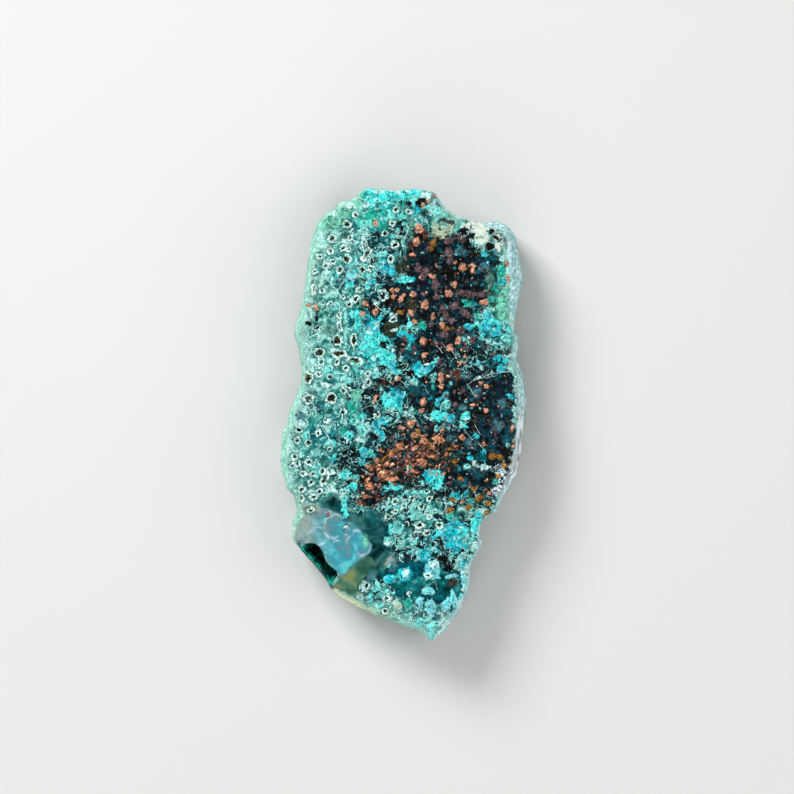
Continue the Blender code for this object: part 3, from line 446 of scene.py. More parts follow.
# how edges wander: by how much, size of the noise, octaves, and where in the noise
wanders = {
    "patch": (0.42, 0.9, 3, 61.0),
    "wash": (1.6, 3.5, 3, 101.0),
    "mouth": (0.34, 0.8, 2, 121.0),
    "lobe": (0.5, 1.8, 2, 81.0),
}
farthest = 6.0  # gaps are kept within this
washFall = 1.1  # how fast a broad colour fades from its middle

# how patches end: what lies over another, soft and sharp edges, and where they rise
patchEdge = {"over": -0.04, "soft": 0.45, "sharp": 0.07, "outside": 0.3, "rise": (-0.1, 0.25)}
# the bright line round each lobe, as shares of its radius, and its width
lobeEdge = {"at": 0.95, "end": 1.2, "width": 0.22}


def stepBetween(low, high, value):
    t = np.clip((value - low) / (high - low), 0.0, 1.0)
    return t * t * (3.0 - 2.0 * t)


def noiseAt(points, size, octaves=3, shift=0.0):
    offset = Vector((shift, shift * 0.7, shift * 1.3))
    return np.array([noise.fractal(Vector(p) / size + offset, 1.0, 2.0, octaves) for p in points])


def level(x, y):
    return np.stack([x, y, np.zeros(len(x))], axis=1)


def wandered(x, y, kind):
    # places pushed about by noise, so that the spots aren't true ovals
    amount, size, octaves, shift = wanders[kind]
    points = level(x, y)
    return (x + amount * noiseAt(points, size, octaves, shift),
            y + amount * noiseAt(points, size, octaves, shift + 10.0))


def turned(u, v, degrees):
    angle = math.radians(degrees)
    return u * math.cos(angle) - v * math.sin(angle), u * math.sin(angle) + v * math.cos(angle)


def ellipseReach(x, y, spot):
    # 0 in the middle of an oval and 1 on its edge
    along, across = turned(x - spot[0], y - spot[1], -spot[4])
    return np.hypot(along / spot[2], across / spot[3])


def inSpot(x, y, spot):
    # millimetres inside an oval, negative outside
    return (1.0 - ellipseReach(x, y, spot)) * min(spot[2:4])


def spotGap(x, y, spots):
    gap = np.full(len(x), -50.0)
    for spot in spots:
        gap = np.maximum(gap, inSpot(x, y, spot))
    return gap


def ringGap(x, y, ring):
    # distance to a closed edge, the width of its band there, and which places are inside
    best = np.full(len(x), 1e9)
    band = np.zeros(len(x))
    inside = np.zeros(len(x), dtype=bool)
    for (ax, ay, *aw), (bx, by, *bw) in zip(ring, ring[1:] + ring[:1]):
        runX, runY = bx - ax, by - ay
        t = np.clip(((x - ax) * runX + (y - ay) * runY) / (runX**2 + runY**2), 0.0, 1.0)
        gap = np.hypot(x - ax - t * runX, y - ay - t * runY)
        nearer = gap < best
        best[nearer] = gap[nearer]
        if aw:
            band[nearer] = (aw[0] + t * (bw[0] - aw[0]))[nearer]
        inside ^= ((ay > y) != (by > y)) & (x < ax + (y - ay) * runX / (runY or 1e-9))
    return best, band, inside


def edgeGap(x, y, ring):
    # millimetres inside a closed edge, negative outside
    best, band, inside = ringGap(x, y, ring)
    return np.where(inside, best, -best)


def patchedAt(x, y):
    # what the patches and single grains give each place
    bentX, bentY = wandered(x, y, "patch")
    gap = np.full(len(x), -farthest)
    crust = gap.copy()
    colour = np.tile(np.array(display(*tones["F"])), (len(x), 1))
    lift, smooth = np.zeros(len(x)), np.zeros(len(x))
    soft = np.full(len(x), patchEdge["outside"])
    for tone, *spot in patches + grainPatches:
        near = inSpot(bentX, bentY, spot)
        over = (near > patchEdge["over"]) | (near > gap)
        colour[over] = display(*tones[tone])
        soft[over] = patchEdge["soft" if tone in softTones else "sharp"]
        height = (tone in raisedTones) + 0.5 * (tone in grainTones) - (tone in sunkTones)
        share = stepBetween(*patchEdge["rise"], near)
        lift += (height - lift) * share
        smooth += ((tone in smoothTones) - smooth) * share
        gap = np.maximum(gap, near)
        if tone in crustTones:
            crust = np.maximum(crust, near)
    return {
        "patchGap": gap, "crustGap": crust, "patchColour": colour,
        "patchLift": lift, "patchSmooth": smooth, "patchSoft": soft,
    }


def washedAt(x, y):
    # the broad soft colour beneath everything else
    bentX, bentY = wandered(x, y, "wash")
    colour = np.tile(np.array(display(*washBase)), (len(x), 1))
    for spot, tint in washes:
        share = np.exp(-washFall * ellipseReach(bentX, bentY, spot) ** 2)[:, None]
        colour += (np.array(display(*tint)) - colour) * share
    return colour


def lobedAt(x, y):
    # how far inside its own round body each place lies, and a bright line round each body
    bentX, bentY = wandered(x, y, "lobe")
    inside, line = np.zeros(len(x)), np.zeros(len(x))
    for lx, ly, radius in lobes:
        reach = np.hypot(bentX - lx, bentY - ly) / radius
        own = reach < 1.0
        inside = np.where(own, 1.0 - reach, inside)
        edge = np.exp(-(((reach - lobeEdge["at"]) * radius / lobeEdge["width"]) ** 2))
        line = np.where(own, edge, np.maximum(line, edge * (reach < lobeEdge["end"])))
    return inside, line


def faceHeight(x, y, lift):
    # height of the cut face at each place
    points = level(x, y)
    height = relief["wave"] * noiseAt(points, relief["waveSize"])
    for bx, by, radius, rise in bulges:
        height += rise * np.exp(-((x - bx) ** 2 + (y - by) ** 2) / radius**2)
    core = stepBetween(*relief["coreEdge"], edgeGap(x, y, areas["core"]))
    height -= core * (relief["coreDrop"] - relief["coreRough"] * noiseAt(points, relief["coreSize"], 2, 5.0))
    height += np.where(lift > 0.0, relief["rise"] * lift, relief["sink"] * lift)
    glassy = np.maximum(edgeGap(x, y, areas["glass"]), edgeGap(x, y, areas["lobe"]))
    rough = 1.0 - stepBetween(*relief["glassEdge"], glassy)
    height += rough * relief["grain"] * noiseAt(points, relief["grainSize"], 2, 11.0)
    bent = wandered(x, y, "mouth")
    for spot in mouths:
        depth = min(relief["mouthDepth"], spot[2] + spot[3])
        height -= depth * (1.0 - stepBetween(*relief["mouthWall"], ellipseReach(*bent, spot)))
    return stone["thickness"] + height


def faceInside(x, y):
    # millimetres inside the side band, and a share from 0 on it to 1 on the cut face
    gap, band, inside = ringGap(x, y, stone["outline"])
    return gap - band, stepBetween(*stone["rimEdge"], gap - band * stone["bandShare"])


def newObject(name, mesh):
    item = bpy.data.objects.new(name, mesh)
    bpy.context.scene.collection.objects.link(item)
    return item


def newMesh(shape, name):
    mesh = bpy.data.meshes.new(name)
    shape.to_mesh(mesh)
    shape.free()
    return mesh


def evenCopy(node):
    # the node's own form, closed and evenly meshed
    mesh = node.data.copy()
    shape = bmesh.new()
    shape.from_mesh(mesh)
    bmesh.ops.remove_doubles(shape, verts=shape.verts, dist=stone["weld"] * mm)
    shape.to_mesh(mesh)
    shape.free()
    rough = newObject("roughCopy", mesh)
    remesh = rough.modifiers.new("even", "REMESH")
    remesh.mode = "VOXEL"
    remesh.voxel_size = stone["voxel"] * mm
    graph = bpy.context.evaluated_depsgraph_get()
    even = bpy.data.meshes.new_from_object(rough.evaluated_get(graph))
    bpy.data.objects.remove(rough)
    return even


def gathered(faces, kind):
    return list({item for f in faces for item in getattr(f, kind)})


def shapeStone():
    mesh = evenCopy(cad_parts["chrysocolla_stone"])
    top = stone["thickness"] - stone["faceDepth"]
    shape = bmesh.new()
    shape.from_mesh(mesh)
    for run in range(stone["smoothPasses"]):
        walls = [v for v in shape.verts if v.co.z > stone["backClear"] * mm]
        bmesh.ops.smooth_vert(
            shape, verts=walls, factor=0.5, use_axis_x=True, use_axis_y=True, use_axis_z=True)
    shape.normal_update()
    face = [f for f in shape.faces if f.normal.z > stone["faceTilt"] and f.calc_center_median().z > top * mm]
    bmesh.ops.subdivide_edges(shape, edges=gathered(face, "edges"), cuts=1, use_grid_fill=True)
    back = [f for f in shape.faces if f.normal.z < -0.999 and f.calc_center_median().z < 0.2 * mm]
    verts, edges = gathered(back, "verts"), gathered(back, "edges")
    bmesh.ops.dissolve_limit(shape, angle_limit=0.01, verts=verts, edges=edges)
    shape.to_mesh(mesh)
    shape.free()

    flat = np.empty(len(mesh.vertices) * 3)
    mesh.vertices.foreach_get("co", flat)
    points = flat.reshape(-1, 3) / mm
    x, y, z = points.T
    upper = stepBetween(top, stone["thickness"] - stone["faceBlend"], z)
    clear = 1.0 - stepBetween(*stone["pocketEdge"], edgeGap(x, y, stone["pocket"]))
    weight = faceInside(x, y)[1] * upper * clear
    patched = patchedAt(x, y)
    moved = points.copy()
    moved[:, 2] = z + (faceHeight(x, y, patched["patchLift"]) - z) * weight
    grain = np.clip(noiseAt(points, stone["grainSize"], 3, 3.0) + stone["grainShare"], 0.0, 1.0)
    shrink = stone["wallGrain"] * (1.0 - weight) * grain * stepBetween(*stone["foot"], z)
    pull = points - np.array([0.0, 0.0, 0.5 * stone["thickness"]])
    pull /= np.linalg.norm(pull, axis=1)[:, None]
    moved -= pull * shrink[:, None]
    moved = np.clip(moved, np.array(cadBox[0]) / mm, np.array(cadBox[1]) / mm)
    mesh.vertices.foreach_set("co", (moved * mm).ravel())
    for polygon in mesh.polygons:
        polygon.use_smooth = True
    mesh.update()
    return mesh, moved, patched


# where the walls and the pocket take over, by height, tilt or millimetres inside
masks = {
    "size": 2.2,
    "wallTop": (9.4, 12.0),
    "wallUneven": 1.6,
    "ledge": (-0.02, 0.2),
    "side": (-0.2, 0.5),
    "pocketEdge": (-0.75, -0.45),
    "pocketTop": (13.2, 13.7),
    "pocketFloor": (2.5, 5.0),
    "pocketUneven": 2.0,
}


def paintStone(mesh, points, patched):
    # what each place is made of: gaps are millimetres inside an area
    x, y, z = points.T
    values = dict(patched)
    for name, ring in areas.items():
        values[name + "Gap"] = edgeGap(x, y, ring)
    values["lobeDepth"], values["lobeLine"] = lobedAt(x, y)
    values["washColour"] = washedAt(x, y)
    values["brokenGap"] = spotGap(x, y, brokenGround)
    values["bandGap"] = spotGap(x, y, [spot for tone, *spot in patches if tone == "Z"])
    values["holeGap"] = spotGap(*wandered(x, y, "mouth"), mouths)
    values["edgeGap"] = reach = faceInside(x, y)[0]
    uneven = noiseAt(points, masks["size"], 3, 141.0)
    below = 1.0 - stepBetween(*masks["wallTop"], z + masks["wallUneven"] * uneven)
    facing = np.empty(len(mesh.vertices) * 3)
    mesh.vertices.foreach_get("normal", facing)
    ledge = stepBetween(*masks["ledge"], facing[2::3])  # what can be seen from above stays frosted
    values["wallMask"] = below * (1.0 - ledge)
    values["sideMask"] = np.maximum(below, 1.0 - stepBetween(*masks["side"], reach))
    pocket = stepBetween(*masks["pocketEdge"], edgeGap(x, y, stone["pocket"]))
    pocket *= 1.0 - stepBetween(*masks["pocketTop"], z)
    values["pocketMask"] = pocket * stepBetween(*masks["pocketFloor"], z + masks["pocketUneven"] * uneven)
    for name, value in values.items():
        kind, part = ("FLOAT_COLOR", "color") if value.ndim == 2 else ("FLOAT", "value")
        layer = mesh.attributes.new(name, kind, "POINT")
        layer.data.foreach_set(part, np.clip(value, -farthest, farthest).astype(np.float32).ravel())


def display(r, g, b):
    # a colour as seen on a screen, 0 to 255, turned into light
    parts = [c / 255.0 for c in (r, g, b)]
    light = [c / 12.92 if c <= 0.04045 else ((c + 0.055) / 1.055) ** 2.4 for c in parts]
    return (*light, 1.0)


class Wire:
    # one output of a node, ready for sums and products

    def __init__(self, finish, socket):
        self.finish, self.socket = finish, socket

    def other(self, name):
        return Wire(self.finish, self.socket.node.outputs[name])

    def between(self, low, high):
        reach = {"Value": self, "From Min": low, "From Max": high}
        return self.finish.node("MapRange", "Result", reach, interpolation_type="SMOOTHSTEP")

    def within(self, name):
        # the limits of that name: where it starts to show and shows in full, and where it fades again
        low, high, *fade = limits[name]
        shown = self.between(low, high)
        return shown * self.between(*fade) if fade else shown

    def __add__(self, b):
        return self.finish.math("ADD", self, b)

    def __sub__(self, b):
        return self.finish.math("SUBTRACT", self, b)

    def __rsub__(self, b):
        return self.finish.math("SUBTRACT", b, self)

    def __mul__(self, b):
        return self.finish.math("MULTIPLY", self, b)

    def __truediv__(self, b):
        return self.finish.math("DIVIDE", self, b)

    def __abs__(self):
        return self.finish.math("ABSOLUTE", self, 0.0)


class Finish:
    # a small builder for one material's nodes

    def __init__(self, name):
        self.material = bpy.data.materials.new(name)
        self.material.use_nodes = True
        self.tree = self.material.node_tree
        self.shader = self.tree.nodes["Principled BSDF"]
        place = self.node("TexCoord", "Object", {})
        self.place = self.node("Mapping", "Vector", {"Vector": place, "Scale": (1000.0, 1000.0, 1000.0)})

    def put(self, socket, value):
        if isinstance(value, Wire):
            self.tree.links.new(value.socket, socket)
        else:
            socket.default_value = value

    def node(self, kind, output, inputs, **settings):
        item = self.tree.nodes.new("ShaderNode" + kind)
        for key, value in settings.items():
            setattr(item, key, value)
        for key, value in inputs.items():
            self.put(item.inputs[key], value)
        return Wire(self, item.outputs[output])

    def math(self, operation, a, b):
        return self.node("Math", 0, {0: a, 1: b}, operation=operation)

    def vector(self, operation, a, b):
        return self.node("VectorMath", 0, {0: a, 3 if operation == "SCALE" else 1: b}, operation=operation)

    def noise(self, name, place=None, shift=0.0, size=None):
        ownSize, detail, roughness, distortion, ownShift, bent = textures[name]
        shift += ownShift
        place = place or (self.wander if bent else self.place)
        return self.node("TexNoise", "Fac", {
            "Vector": self.vector("ADD", place, (shift, shift * 0.6, shift * 1.7)),
            "Scale": 1.0 / (size or ownSize),
            "Detail": detail,
            "Roughness": roughness,
            "Distortion": distortion,
        })

    def bend(self, size, amount):
        # coordinates pushed about by noise, so that edges wander
        push = self.node("TexNoise", "Color", {"Vector": self.place, "Scale": 1.0 / size})
        push = self.vector("SCALE", self.vector("SUBTRACT", push, (0.5, 0.5, 0.5)), amount)
        self.wander = self.vector("ADD", self.place, push)

    def stretched(self, place, turn, scale):
        where = {"Vector": place, "Rotation": (0.0, 0.0, turn), "Scale": scale}
        return self.node("Mapping", "Vector", where, vector_type="TEXTURE")

    def cells(self, size, place):
        # distance to the nearest cell's middle, and two chance numbers for each cell
        near = self.node("TexVoronoi", "Distance", {"Vector": place, "Scale": 1.0 / size})
        chance = self.node("SeparateColor", "Red", {"Color": near.other("Color")})
        return near, chance, chance.other("Green")

    def ramp(self, value, name, steps=False):
        item = self.node("ValToRGB", "Color", {"Fac": value})
        colours = item.socket.node.color_ramp
        if steps:
            colours.interpolation = "CONSTANT"
        while len(colours.elements) < len(ramps[name]):
            colours.elements.new(0.5)
        for point, (at, *colour) in zip(colours.elements, ramps[name]):
            point.position = at
            point.color = display(*colour)
        return item

    def tinted(self, name, place=None):
        return self.ramp(self.noise(name, place), name)

    def where(self, name, shift=0.0):
        # where the texture of that name shows
        return self.noise(name, shift=shift).within(name)

    def mix(self, amount, a, b, blend="MIX"):
        return self.node("Mix", 2, {0: amount, 6: a, 7: b}, data_type="RGBA", blend_type=blend)

    def lay(self, mask, below, name, blend="MIX"):
        # a tint over what is below it, as strongly as its share says
        share, *colour = tints[name]
        return self.mix(mask * share if share < 1 else mask, below, display(*colour), blend)

    def strong(self, colour):
        # deeper darks and brighter lights
        deep = self.node("Gamma", "Color", {"Color": colour, "Gamma": 1.25})
        return self.mix(1.0, deep, (1.22, 1.22, 1.22, 1.0), "MULTIPLY")

    def read(self, name, output="Fac"):
        return self.node("Attribute", output, {}, attribute_name=name)

    def torn(self, name, texture, spread, soft=0.05):
        # an area whose edge is torn by a texture, both in millimetres
        return (self.read(name) + (texture - 0.5) * (spread * 2.0)).between(-soft, soft)

    def finished(self, colour, roughness, specular, height, distance, strength):
        looks = {"Base Color": self.strong(colour), "Roughness": roughness, "Specular IOR Level": specular}
        bumps = {"Height": height, "Distance": distance * mm, "Strength": strength}
        looks["Normal"] = self.node("Bump", "Normal", bumps)
        for key, value in looks.items():
            self.put(self.shader.inputs[key], value)
        return self.material


# the stone's textures: size, detail, roughness, distortion, shift, and 1 where the place itself wanders
textures = {
    "middle": (1.4, 4, 0.65, 0, 0, 0),
    "fine": (0.5, 3, 0.65, 0, 0, 0),
    "cloud": (2.1, 5, 0.64, 1.2, 9, 1),
    "core": (1.7, 5, 0.68, 0, 2, 1),
    "petrolArea": (3.8, 3, 0.55, 0, 17, 0),
    "petrol": (1.3, 5, 0.7, 0, 19, 0),
    "rust": (0.8, 5, 0.75, 0, 15, 0),
    "glass": (3.4, 4, 0.6, 0.5, 31, 0),
    "deep": (2.4, 4, 0.55, 0, 33, 0),
    "olive": (3.4, 3, 0.55, 0, 35, 0),
    "swirl": (3.2, 2.5, 0.45, 0.4, 38, 0),
    "greyLobe": (2.6, 4, 0.55, 0, 39, 0),
    "lobeLine": (1.4, 2, 0.55, 0, 40, 0),
    "mottle": (0.8, 4, 0.65, 0, 64, 1),
    "paintedGlint": (0.6, 3, 0.6, 0, 67, 1),
    "holes": (1, 3, 0.6, 0, 63, 1),
    "opening": (2.5, 3, 0.55, 0.9, 90, 1),
    "void": (0.9, 4, 0.65, 0, 92, 1),
    "shadow": (1.3, 3, 0.6, 0, 72, 0),
    "bands": (0.55, 2, 0.5, 2.2, 51, 0),
    "crest": (0.85, 3, 0.6, 0.7, 24, 1),
    "sandy": (5, 2, 0.55, 0, 26, 0),
    "curl": (1.9, 2, 0.5, 0.9, 80, 1),
    "curlArea": (2.4, 3, 0.6, 0, 82, 0),
    "gaps": (0.9, 3, 0.65, 0, 4, 1),
    "rim": (0.9, 2, 0.5, 0, 76, 1),
    "hole": (0.7, 3, 0.6, 0, 70, 0),
    "frost": (0.8, 4, 0.7, 0, 41, 0),
    "streak": (0.9, 3, 0.6, 0, 44, 0),
    "wall": (4.2, 5, 0.62, 0.9, 46, 0),
    "stain": (5.5, 4, 0.6, 0, 48, 0),
    "blue": (6.5, 4, 0.6, 0, 57, 0),
    "crack": (5, 3, 0.5, 1.8, 59, 0),
    "pocket": (1.8, 3, 0.6, 0.6, 55, 0),
    "crumb": (0.35, 3, 0.7, 0, 0, 0),
}

# where something starts to show and where it shows in full; four numbers also say where it fades again
limits = {
    "milk": (0.53, 0.64),
    "edgeGlow": (3.6, 0.1),
    "petrolArea": (0.5, 0.62),
    "bitForm": (0.3, 0.5),
    "bitChosen": (0.3, 0.34),
    "leftLobes": (-14.0, -19.0),
    "lobeLine": (0.4, 0.6),
    "lifted": (0.55, 0.95),
    "paintedGlint": (0.56, 0.64),
    "cover": (-1.0, 1.0),
    "holes": (0.61, 0.66),
    "patchEdge": (0.0, 0.07, 0.3, 0.16),
    "broken": (-0.6, 1.0),
    "void": (0.488, 0.474),
    "brim": (0.486, 0.494, 0.52, 0.502),
    "offCrust": (0.1, -0.15),
    "chipForm": (0.34, 0.44),
    "shadow": (0.42, 0.52),
    "shadowEdge": (-0.5, -0.12, 0.06, -0.04),
    "offGlass": (0.5, -0.5),
    "offCore": (1.2, -1.0),
    "sandy": (0.48, 0.58),
    "crest": (0.58, 0.62),
    "crestShadow": (0.52, 0.545, 0.575, 0.55),
    "curlArea": (0.52, 0.57),
    "thread": (0.016, 0.009),
    "threadShadow": (0.006, 0.014, 0.034, 0.02),
    "gaps": (0.39, 0.34),
    "mouthShadow": (-0.85, -0.5, -0.25, -0.4),
    "rim": (0.43, 0.5),
    "rimEdge": (-0.3, -0.2),
    "hole": (-0.04, 0.06),
    "rightSide": (-4.0, 10.0),
    "streakPlace": (4.0, -2.0, -18.0, -12.0),
    "streakSide": (8.0, 14.0),
    "stain": (0.55, 0.64),
    "blue": (0.54, 0.6),
    "nearCore": (-4.5, -1.0),
    "darkWall": (0.62, 0.42),
    "crack": (0.012, 0.004),
    "cream": (-0.8, 0.0),
    "offWall": (0.9, 0.1),
    "crumbLight": (0.56, 0.66),
}

# colours along a texture: place, red, green, blue
ramps = {
    "cloud": [(0.38, 30, 100, 106), (0.47, 136, 190, 194), (0.54, 238, 252, 252), (0.6, 255, 255, 255)],
    "core": [
        (0.4, 2, 4, 6), (0.48, 3, 14, 20), (0.54, 6, 48, 58), (0.6, 12, 92, 102), (0.68, 60, 166, 172),
    ],
    "petrol": [(0.4, 2, 4, 8), (0.52, 6, 32, 50), (0.62, 18, 80, 100), (0.7, 90, 144, 154)],
    "rust": [
        (0.43, 6, 9, 11), (0.48, 40, 30, 22), (0.52, 104, 70, 50), (0.56, 206, 152, 124),
        (0.59, 128, 88, 58), (0.63, 90, 62, 62), (0.68, 20, 66, 70),
    ],
    "rustBits": [
        (0.0, 6, 9, 11), (0.24, 52, 36, 28), (0.36, 104, 72, 52), (0.46, 170, 120, 94), (0.58, 224, 172, 144),
        (0.72, 122, 98, 50), (0.82, 132, 60, 64), (0.87, 108, 88, 94), (0.93, 24, 104, 108),
    ],
    "glass": [(0.38, 8, 46, 50), (0.5, 26, 84, 88), (0.64, 72, 122, 120)],
    "deep": [(0.38, 4, 50, 52), (0.5, 10, 92, 94), (0.6, 26, 126, 128), (0.68, 90, 160, 156)],
    "olive": [(0.38, 52, 98, 82), (0.5, 84, 124, 104), (0.62, 126, 140, 104)],
    "lobe": [(0.44, 112, 146, 150), (0.54, 88, 144, 154), (0.63, 74, 154, 166), (0.74, 104, 186, 192)],
    "greyLobe": [(0.42, 120, 142, 142), (0.54, 150, 176, 176), (0.64, 182, 202, 198)],
    "mottle": [(0.36, 110, 116, 120), (0.5, 220, 222, 224), (0.6, 255, 255, 255)],
    "void": [(0.42, 4, 8, 10), (0.52, 6, 44, 50), (0.6, 10, 92, 98), (0.66, 50, 110, 104)],
    "chips": [
        (0.0, 3, 6, 9), (0.26, 8, 34, 46), (0.4, 14, 78, 92), (0.54, 30, 130, 140), (0.6, 60, 54, 58),
        (0.68, 118, 100, 106), (0.79, 70, 70, 44), (0.86, 112, 76, 58), (0.92, 206, 158, 132),
        (0.95, 140, 198, 196),
    ],
    "bands": [(0.44, 10, 16, 22), (0.5, 120, 150, 160), (0.56, 226, 238, 240)],
    "shade": [(0.2, 186, 186, 186), (0.5, 240, 240, 240), (0.8, 255, 255, 255)],
    "hole": [(0.42, 8, 10, 8), (0.5, 58, 60, 40), (0.56, 112, 118, 82), (0.64, 96, 128, 112)],
    "whiteFrost": [(0.36, 112, 164, 170), (0.5, 172, 214, 216), (0.62, 234, 248, 248)],
    "greenFrost": [(0.36, 112, 164, 150), (0.5, 150, 202, 188), (0.62, 198, 232, 220)],
    "streak": [(0.4, 146, 136, 142), (0.47, 188, 172, 172), (0.53, 214, 222, 226), (0.62, 238, 246, 248)],
    "wall": [
        (0.38, 26, 84, 84), (0.46, 70, 146, 136), (0.53, 124, 190, 176), (0.6, 196, 230, 218),
        (0.66, 112, 176, 164),
    ],
    "wallShade": [(0.4, 150, 176, 172), (0.52, 236, 242, 240)],
    "facet": [(0.4, 166, 206, 178), (0.5, 214, 228, 196), (0.6, 236, 234, 196)],
    "pocket": [(0.4, 2, 8, 10), (0.48, 0, 64, 62), (0.56, 4, 120, 108), (0.68, 40, 196, 176)],
}

# single colours laid over the rest: how strongly, red, green, blue
tints = {
    "milk": (0.55, 214, 240, 232),
    # painted glow near the outline
    "edgeGlow": (0.55, 192, 228, 218),
    "lobeLine": (0.85, 186, 206, 218),
    # painted highlight on the raised patches
    "paintedGlint": (0.3, 226, 250, 246),
    # painted highlight along the edges of the raised patches
    "patchEdge": (0.4, 220, 248, 244),
    "brim": (0.8, 176, 244, 238),
    "shadow": (0.62, 6, 34, 40),
    # painted shadow beside the white crests
    "crestShadow": (0.5, 14, 100, 98),
    "crest": (0.8, 200, 246, 240),
    # painted shadow beside the white threads
    "threadShadow": (0.6, 8, 88, 88),
    "thread": (0.9, 214, 248, 242),
    "gaps": (0.7, 4, 62, 68),
    # painted shadow round the tube mouths
    "mouthShadow": (0.55, 14, 96, 92),
    "rim": (1, 230, 246, 238),
    "stain": (0.6, 96, 84, 58),
    "blue": (0.6, 14, 122, 134),
    "darkWall": (0.8, 12, 48, 54),
    "crack": (0.75, 16, 58, 56),
    "crumbLight": (1, 240, 236, 230),
}

# the areas in the order they are laid down: how far their edges are torn, and how soft those are
layers = {
    "core": (4.0, 0.05), "rust": (3.0, 0.05), "deep": (1.5, 0.4),
    "glass": (0.8, 0.7), "olive": (2.2, 0.7), "lobe": (0.6, 0.25),
}


def stoneFinish():
    f = Finish("blueGreenStone")
    f.bend(1.3, 1.2)
    middle, fine, cloud, frosting = [f.noise(name) for name in ("middle", "fine", "cloud", "frost")]
    axes = f.node("SeparateXYZ", "X", {"Vector": f.place})
    looks = {name: f.tinted(name) for name in ("core", "deep", "glass", "olive")}

    # cloudy silica in broad soft colours, milky in places
    colour = f.mix(0.95, f.read("washColour", "Color"), f.ramp(cloud, "cloud"), "MULTIPLY")
    colour = f.lay(cloud.within("milk"), colour, "milk")
    # painted glow: the face lightened near its outline, copying edge-lit light
    colour = f.lay(f.read("edgeGap").within("edgeGlow"), colour, "edgeGlow")

    # the dark core is black and petrol blue, and the rust holds bits of copper
    looks["core"] = f.mix(f.where("petrolArea"), looks["core"], f.tinted("petrol"))
    along = f.stretched(f.wander, 0.7, (2.6, 1.0, 1.0))
    near, chance, chosen = f.cells(0.75, along)
    bits = (1.0 - near.within("bitForm")) * chosen.within("bitChosen")
    looks["rust"] = f.mix(bits, f.tinted("rust", along), f.ramp(chance, "rustBits", True))

    # rounded lobes, greyer to the left, with a bright line round each
    lobe = f.ramp(f.read("lobeDepth") * 0.22 + f.noise("swirl"), "lobe")
    lobe = f.mix(axes.within("leftLobes") * 0.75, lobe, f.tinted("greyLobe"))
    looks["lobe"] = f.lay(f.read("lobeLine") * f.where("lobeLine"), lobe, "lobeLine")
    for name, edges in layers.items():
        colour = f.mix(f.torn(name + "Gap", middle, *edges), colour, looks[name])

    # small patches, each with its own colour, mottled and torn
    mottling = 0.85 - f.read("patchSmooth") * 0.6
    patch = f.mix(mottling, f.read("patchColour", "Color"), f.tinted("mottle"), "MULTIPLY")
    lifted = f.read("patchLift").within("lifted")
    # painted highlight: pale glints laid over the raised patches
    patch = f.lay(f.where("paintedGlint") * lifted, patch, "paintedGlint")
    tear = fine - 0.5
    reach = f.read("patchGap") + tear
    cover = (reach / f.read("patchSoft")).within("cover") * (1.0 - f.where("holes") * 0.7)
    # painted highlight: a pale line along the edges of the raised patches
    patch = f.lay(reach.within("patchEdge") * lifted, patch, "patchEdge")
    colour = f.mix(cover, colour, patch)

    # broken ground: bright edged clumps with dark gaps between them
    opening = f.noise("opening")
    inRust = f.torn("rustGap", middle, 3.0)
    ground = f.math("MAXIMUM", f.read("brokenGap").within("broken"), inRust * 0.9) * (1.0 - lifted * 0.85)
    colour = f.mix(opening.within("void") * ground, colour, f.tinted("void"))
    colour = f.lay(opening.within("brim") * ground * (1.0 - inRust), colour, "brim")

    # grains of many colours lying in the core, and a painted shadow round the raised crusts
    inCore = f.torn("coreGap", middle, 3.0, 0.3) * f.read("crustGap").within("offCrust") * (1.0 - inRust)
    for size, share, shift in ((0.95, 0.46, 0.0), (0.5, 0.5, 31.0)):
        near, chance, chosen = f.cells(size, f.vector("ADD", f.wander, (shift, shift, 0.0)))
        chips = (1.0 - near.within("chipForm")) * chosen.between(share, share + 0.04)
        colour = f.mix(chips * inCore * 0.85, colour, f.ramp(chance, "chips", True))
    crust = f.read("crustGap") + tear
    colour = f.lay(crust.within("shadowEdge") * f.where("shadow"), colour, "shadow")
    colour = f.mix(f.torn("bandGap", fine, 0.6), colour, f.tinted("bands"))

    # lichen-like white crests with a painted shadow beside them, missing from the glassy parts
    rough = 1.0 - f.read("patchSmooth")
    for name in ("glass", "lobe", "olive", "deep"):
        rough = rough * f.read(name + "Gap").within("offGlass")
    crest = f.noise("crest")
    outside = f.read("coreGap").within("offCore") * (1.0 - cover * 0.85)
    sandy = outside * f.where("sandy")
    # painted shadow in a thin band beside the white crests
    colour = f.lay(crest.within("crestShadow") * sandy, colour, "crestShadow")
    colour = f.lay(crest.within("crest") * (rough * sandy), colour, "crest")
    for size, shift in ((1.9, 0.0), (1.3, 5.0)):
        # thin curling white threads with a painted shadow along one side
        curl = f.noise("curl", shift=shift, size=size) - 0.5
        kept = f.where("curlArea", shift) * outside * (rough * (1.0 - ground * 0.6))
        # painted shadow along one side of each thread
        colour = f.lay(curl.within("threadShadow") * kept, colour, "threadShadow")
        colour = f.lay(abs(curl).within("thread") * kept, colour, "thread")
    colour = f.lay(f.where("gaps") * rough, colour, "gaps")

    # grainy light and shade, then the tube mouths with a painted shadow ringed round them and their pale rim
    lumps, chance, chosen = f.cells(0.55, f.wander)
    colour = f.mix(rough * 0.45, colour, f.ramp(chance * 0.5 + fine * 0.6, "shade"), "MULTIPLY")
    hole = f.read("holeGap") + tear * 0.9
    # painted shadow: a dark ring round each tube mouth, outside its pale rim
    colour = f.lay(hole.within("mouthShadow"), colour, "mouthShadow")
    colour = f.lay(hole.within("rimEdge") * f.where("rim"), colour, "rim")
    colour = f.mix(hole.within("hole"), colour, f.tinted("hole"))

    # frosted walls: greener on one side, whiter on the other, streaked low on the right
    frost = f.mix(axes.within("rightSide"), f.ramp(frosting, "greenFrost"), f.ramp(frosting, "whiteFrost"))
    streak = f.tinted("streak", f.stretched(f.place, -0.12, (0.5, 4.0, 1.0)))
    astray = axes.other("Y") + (frosting - 0.5) * 14.0
    frost = f.mix(astray.within("streakPlace") * axes.within("streakSide") * 0.7, frost, streak)

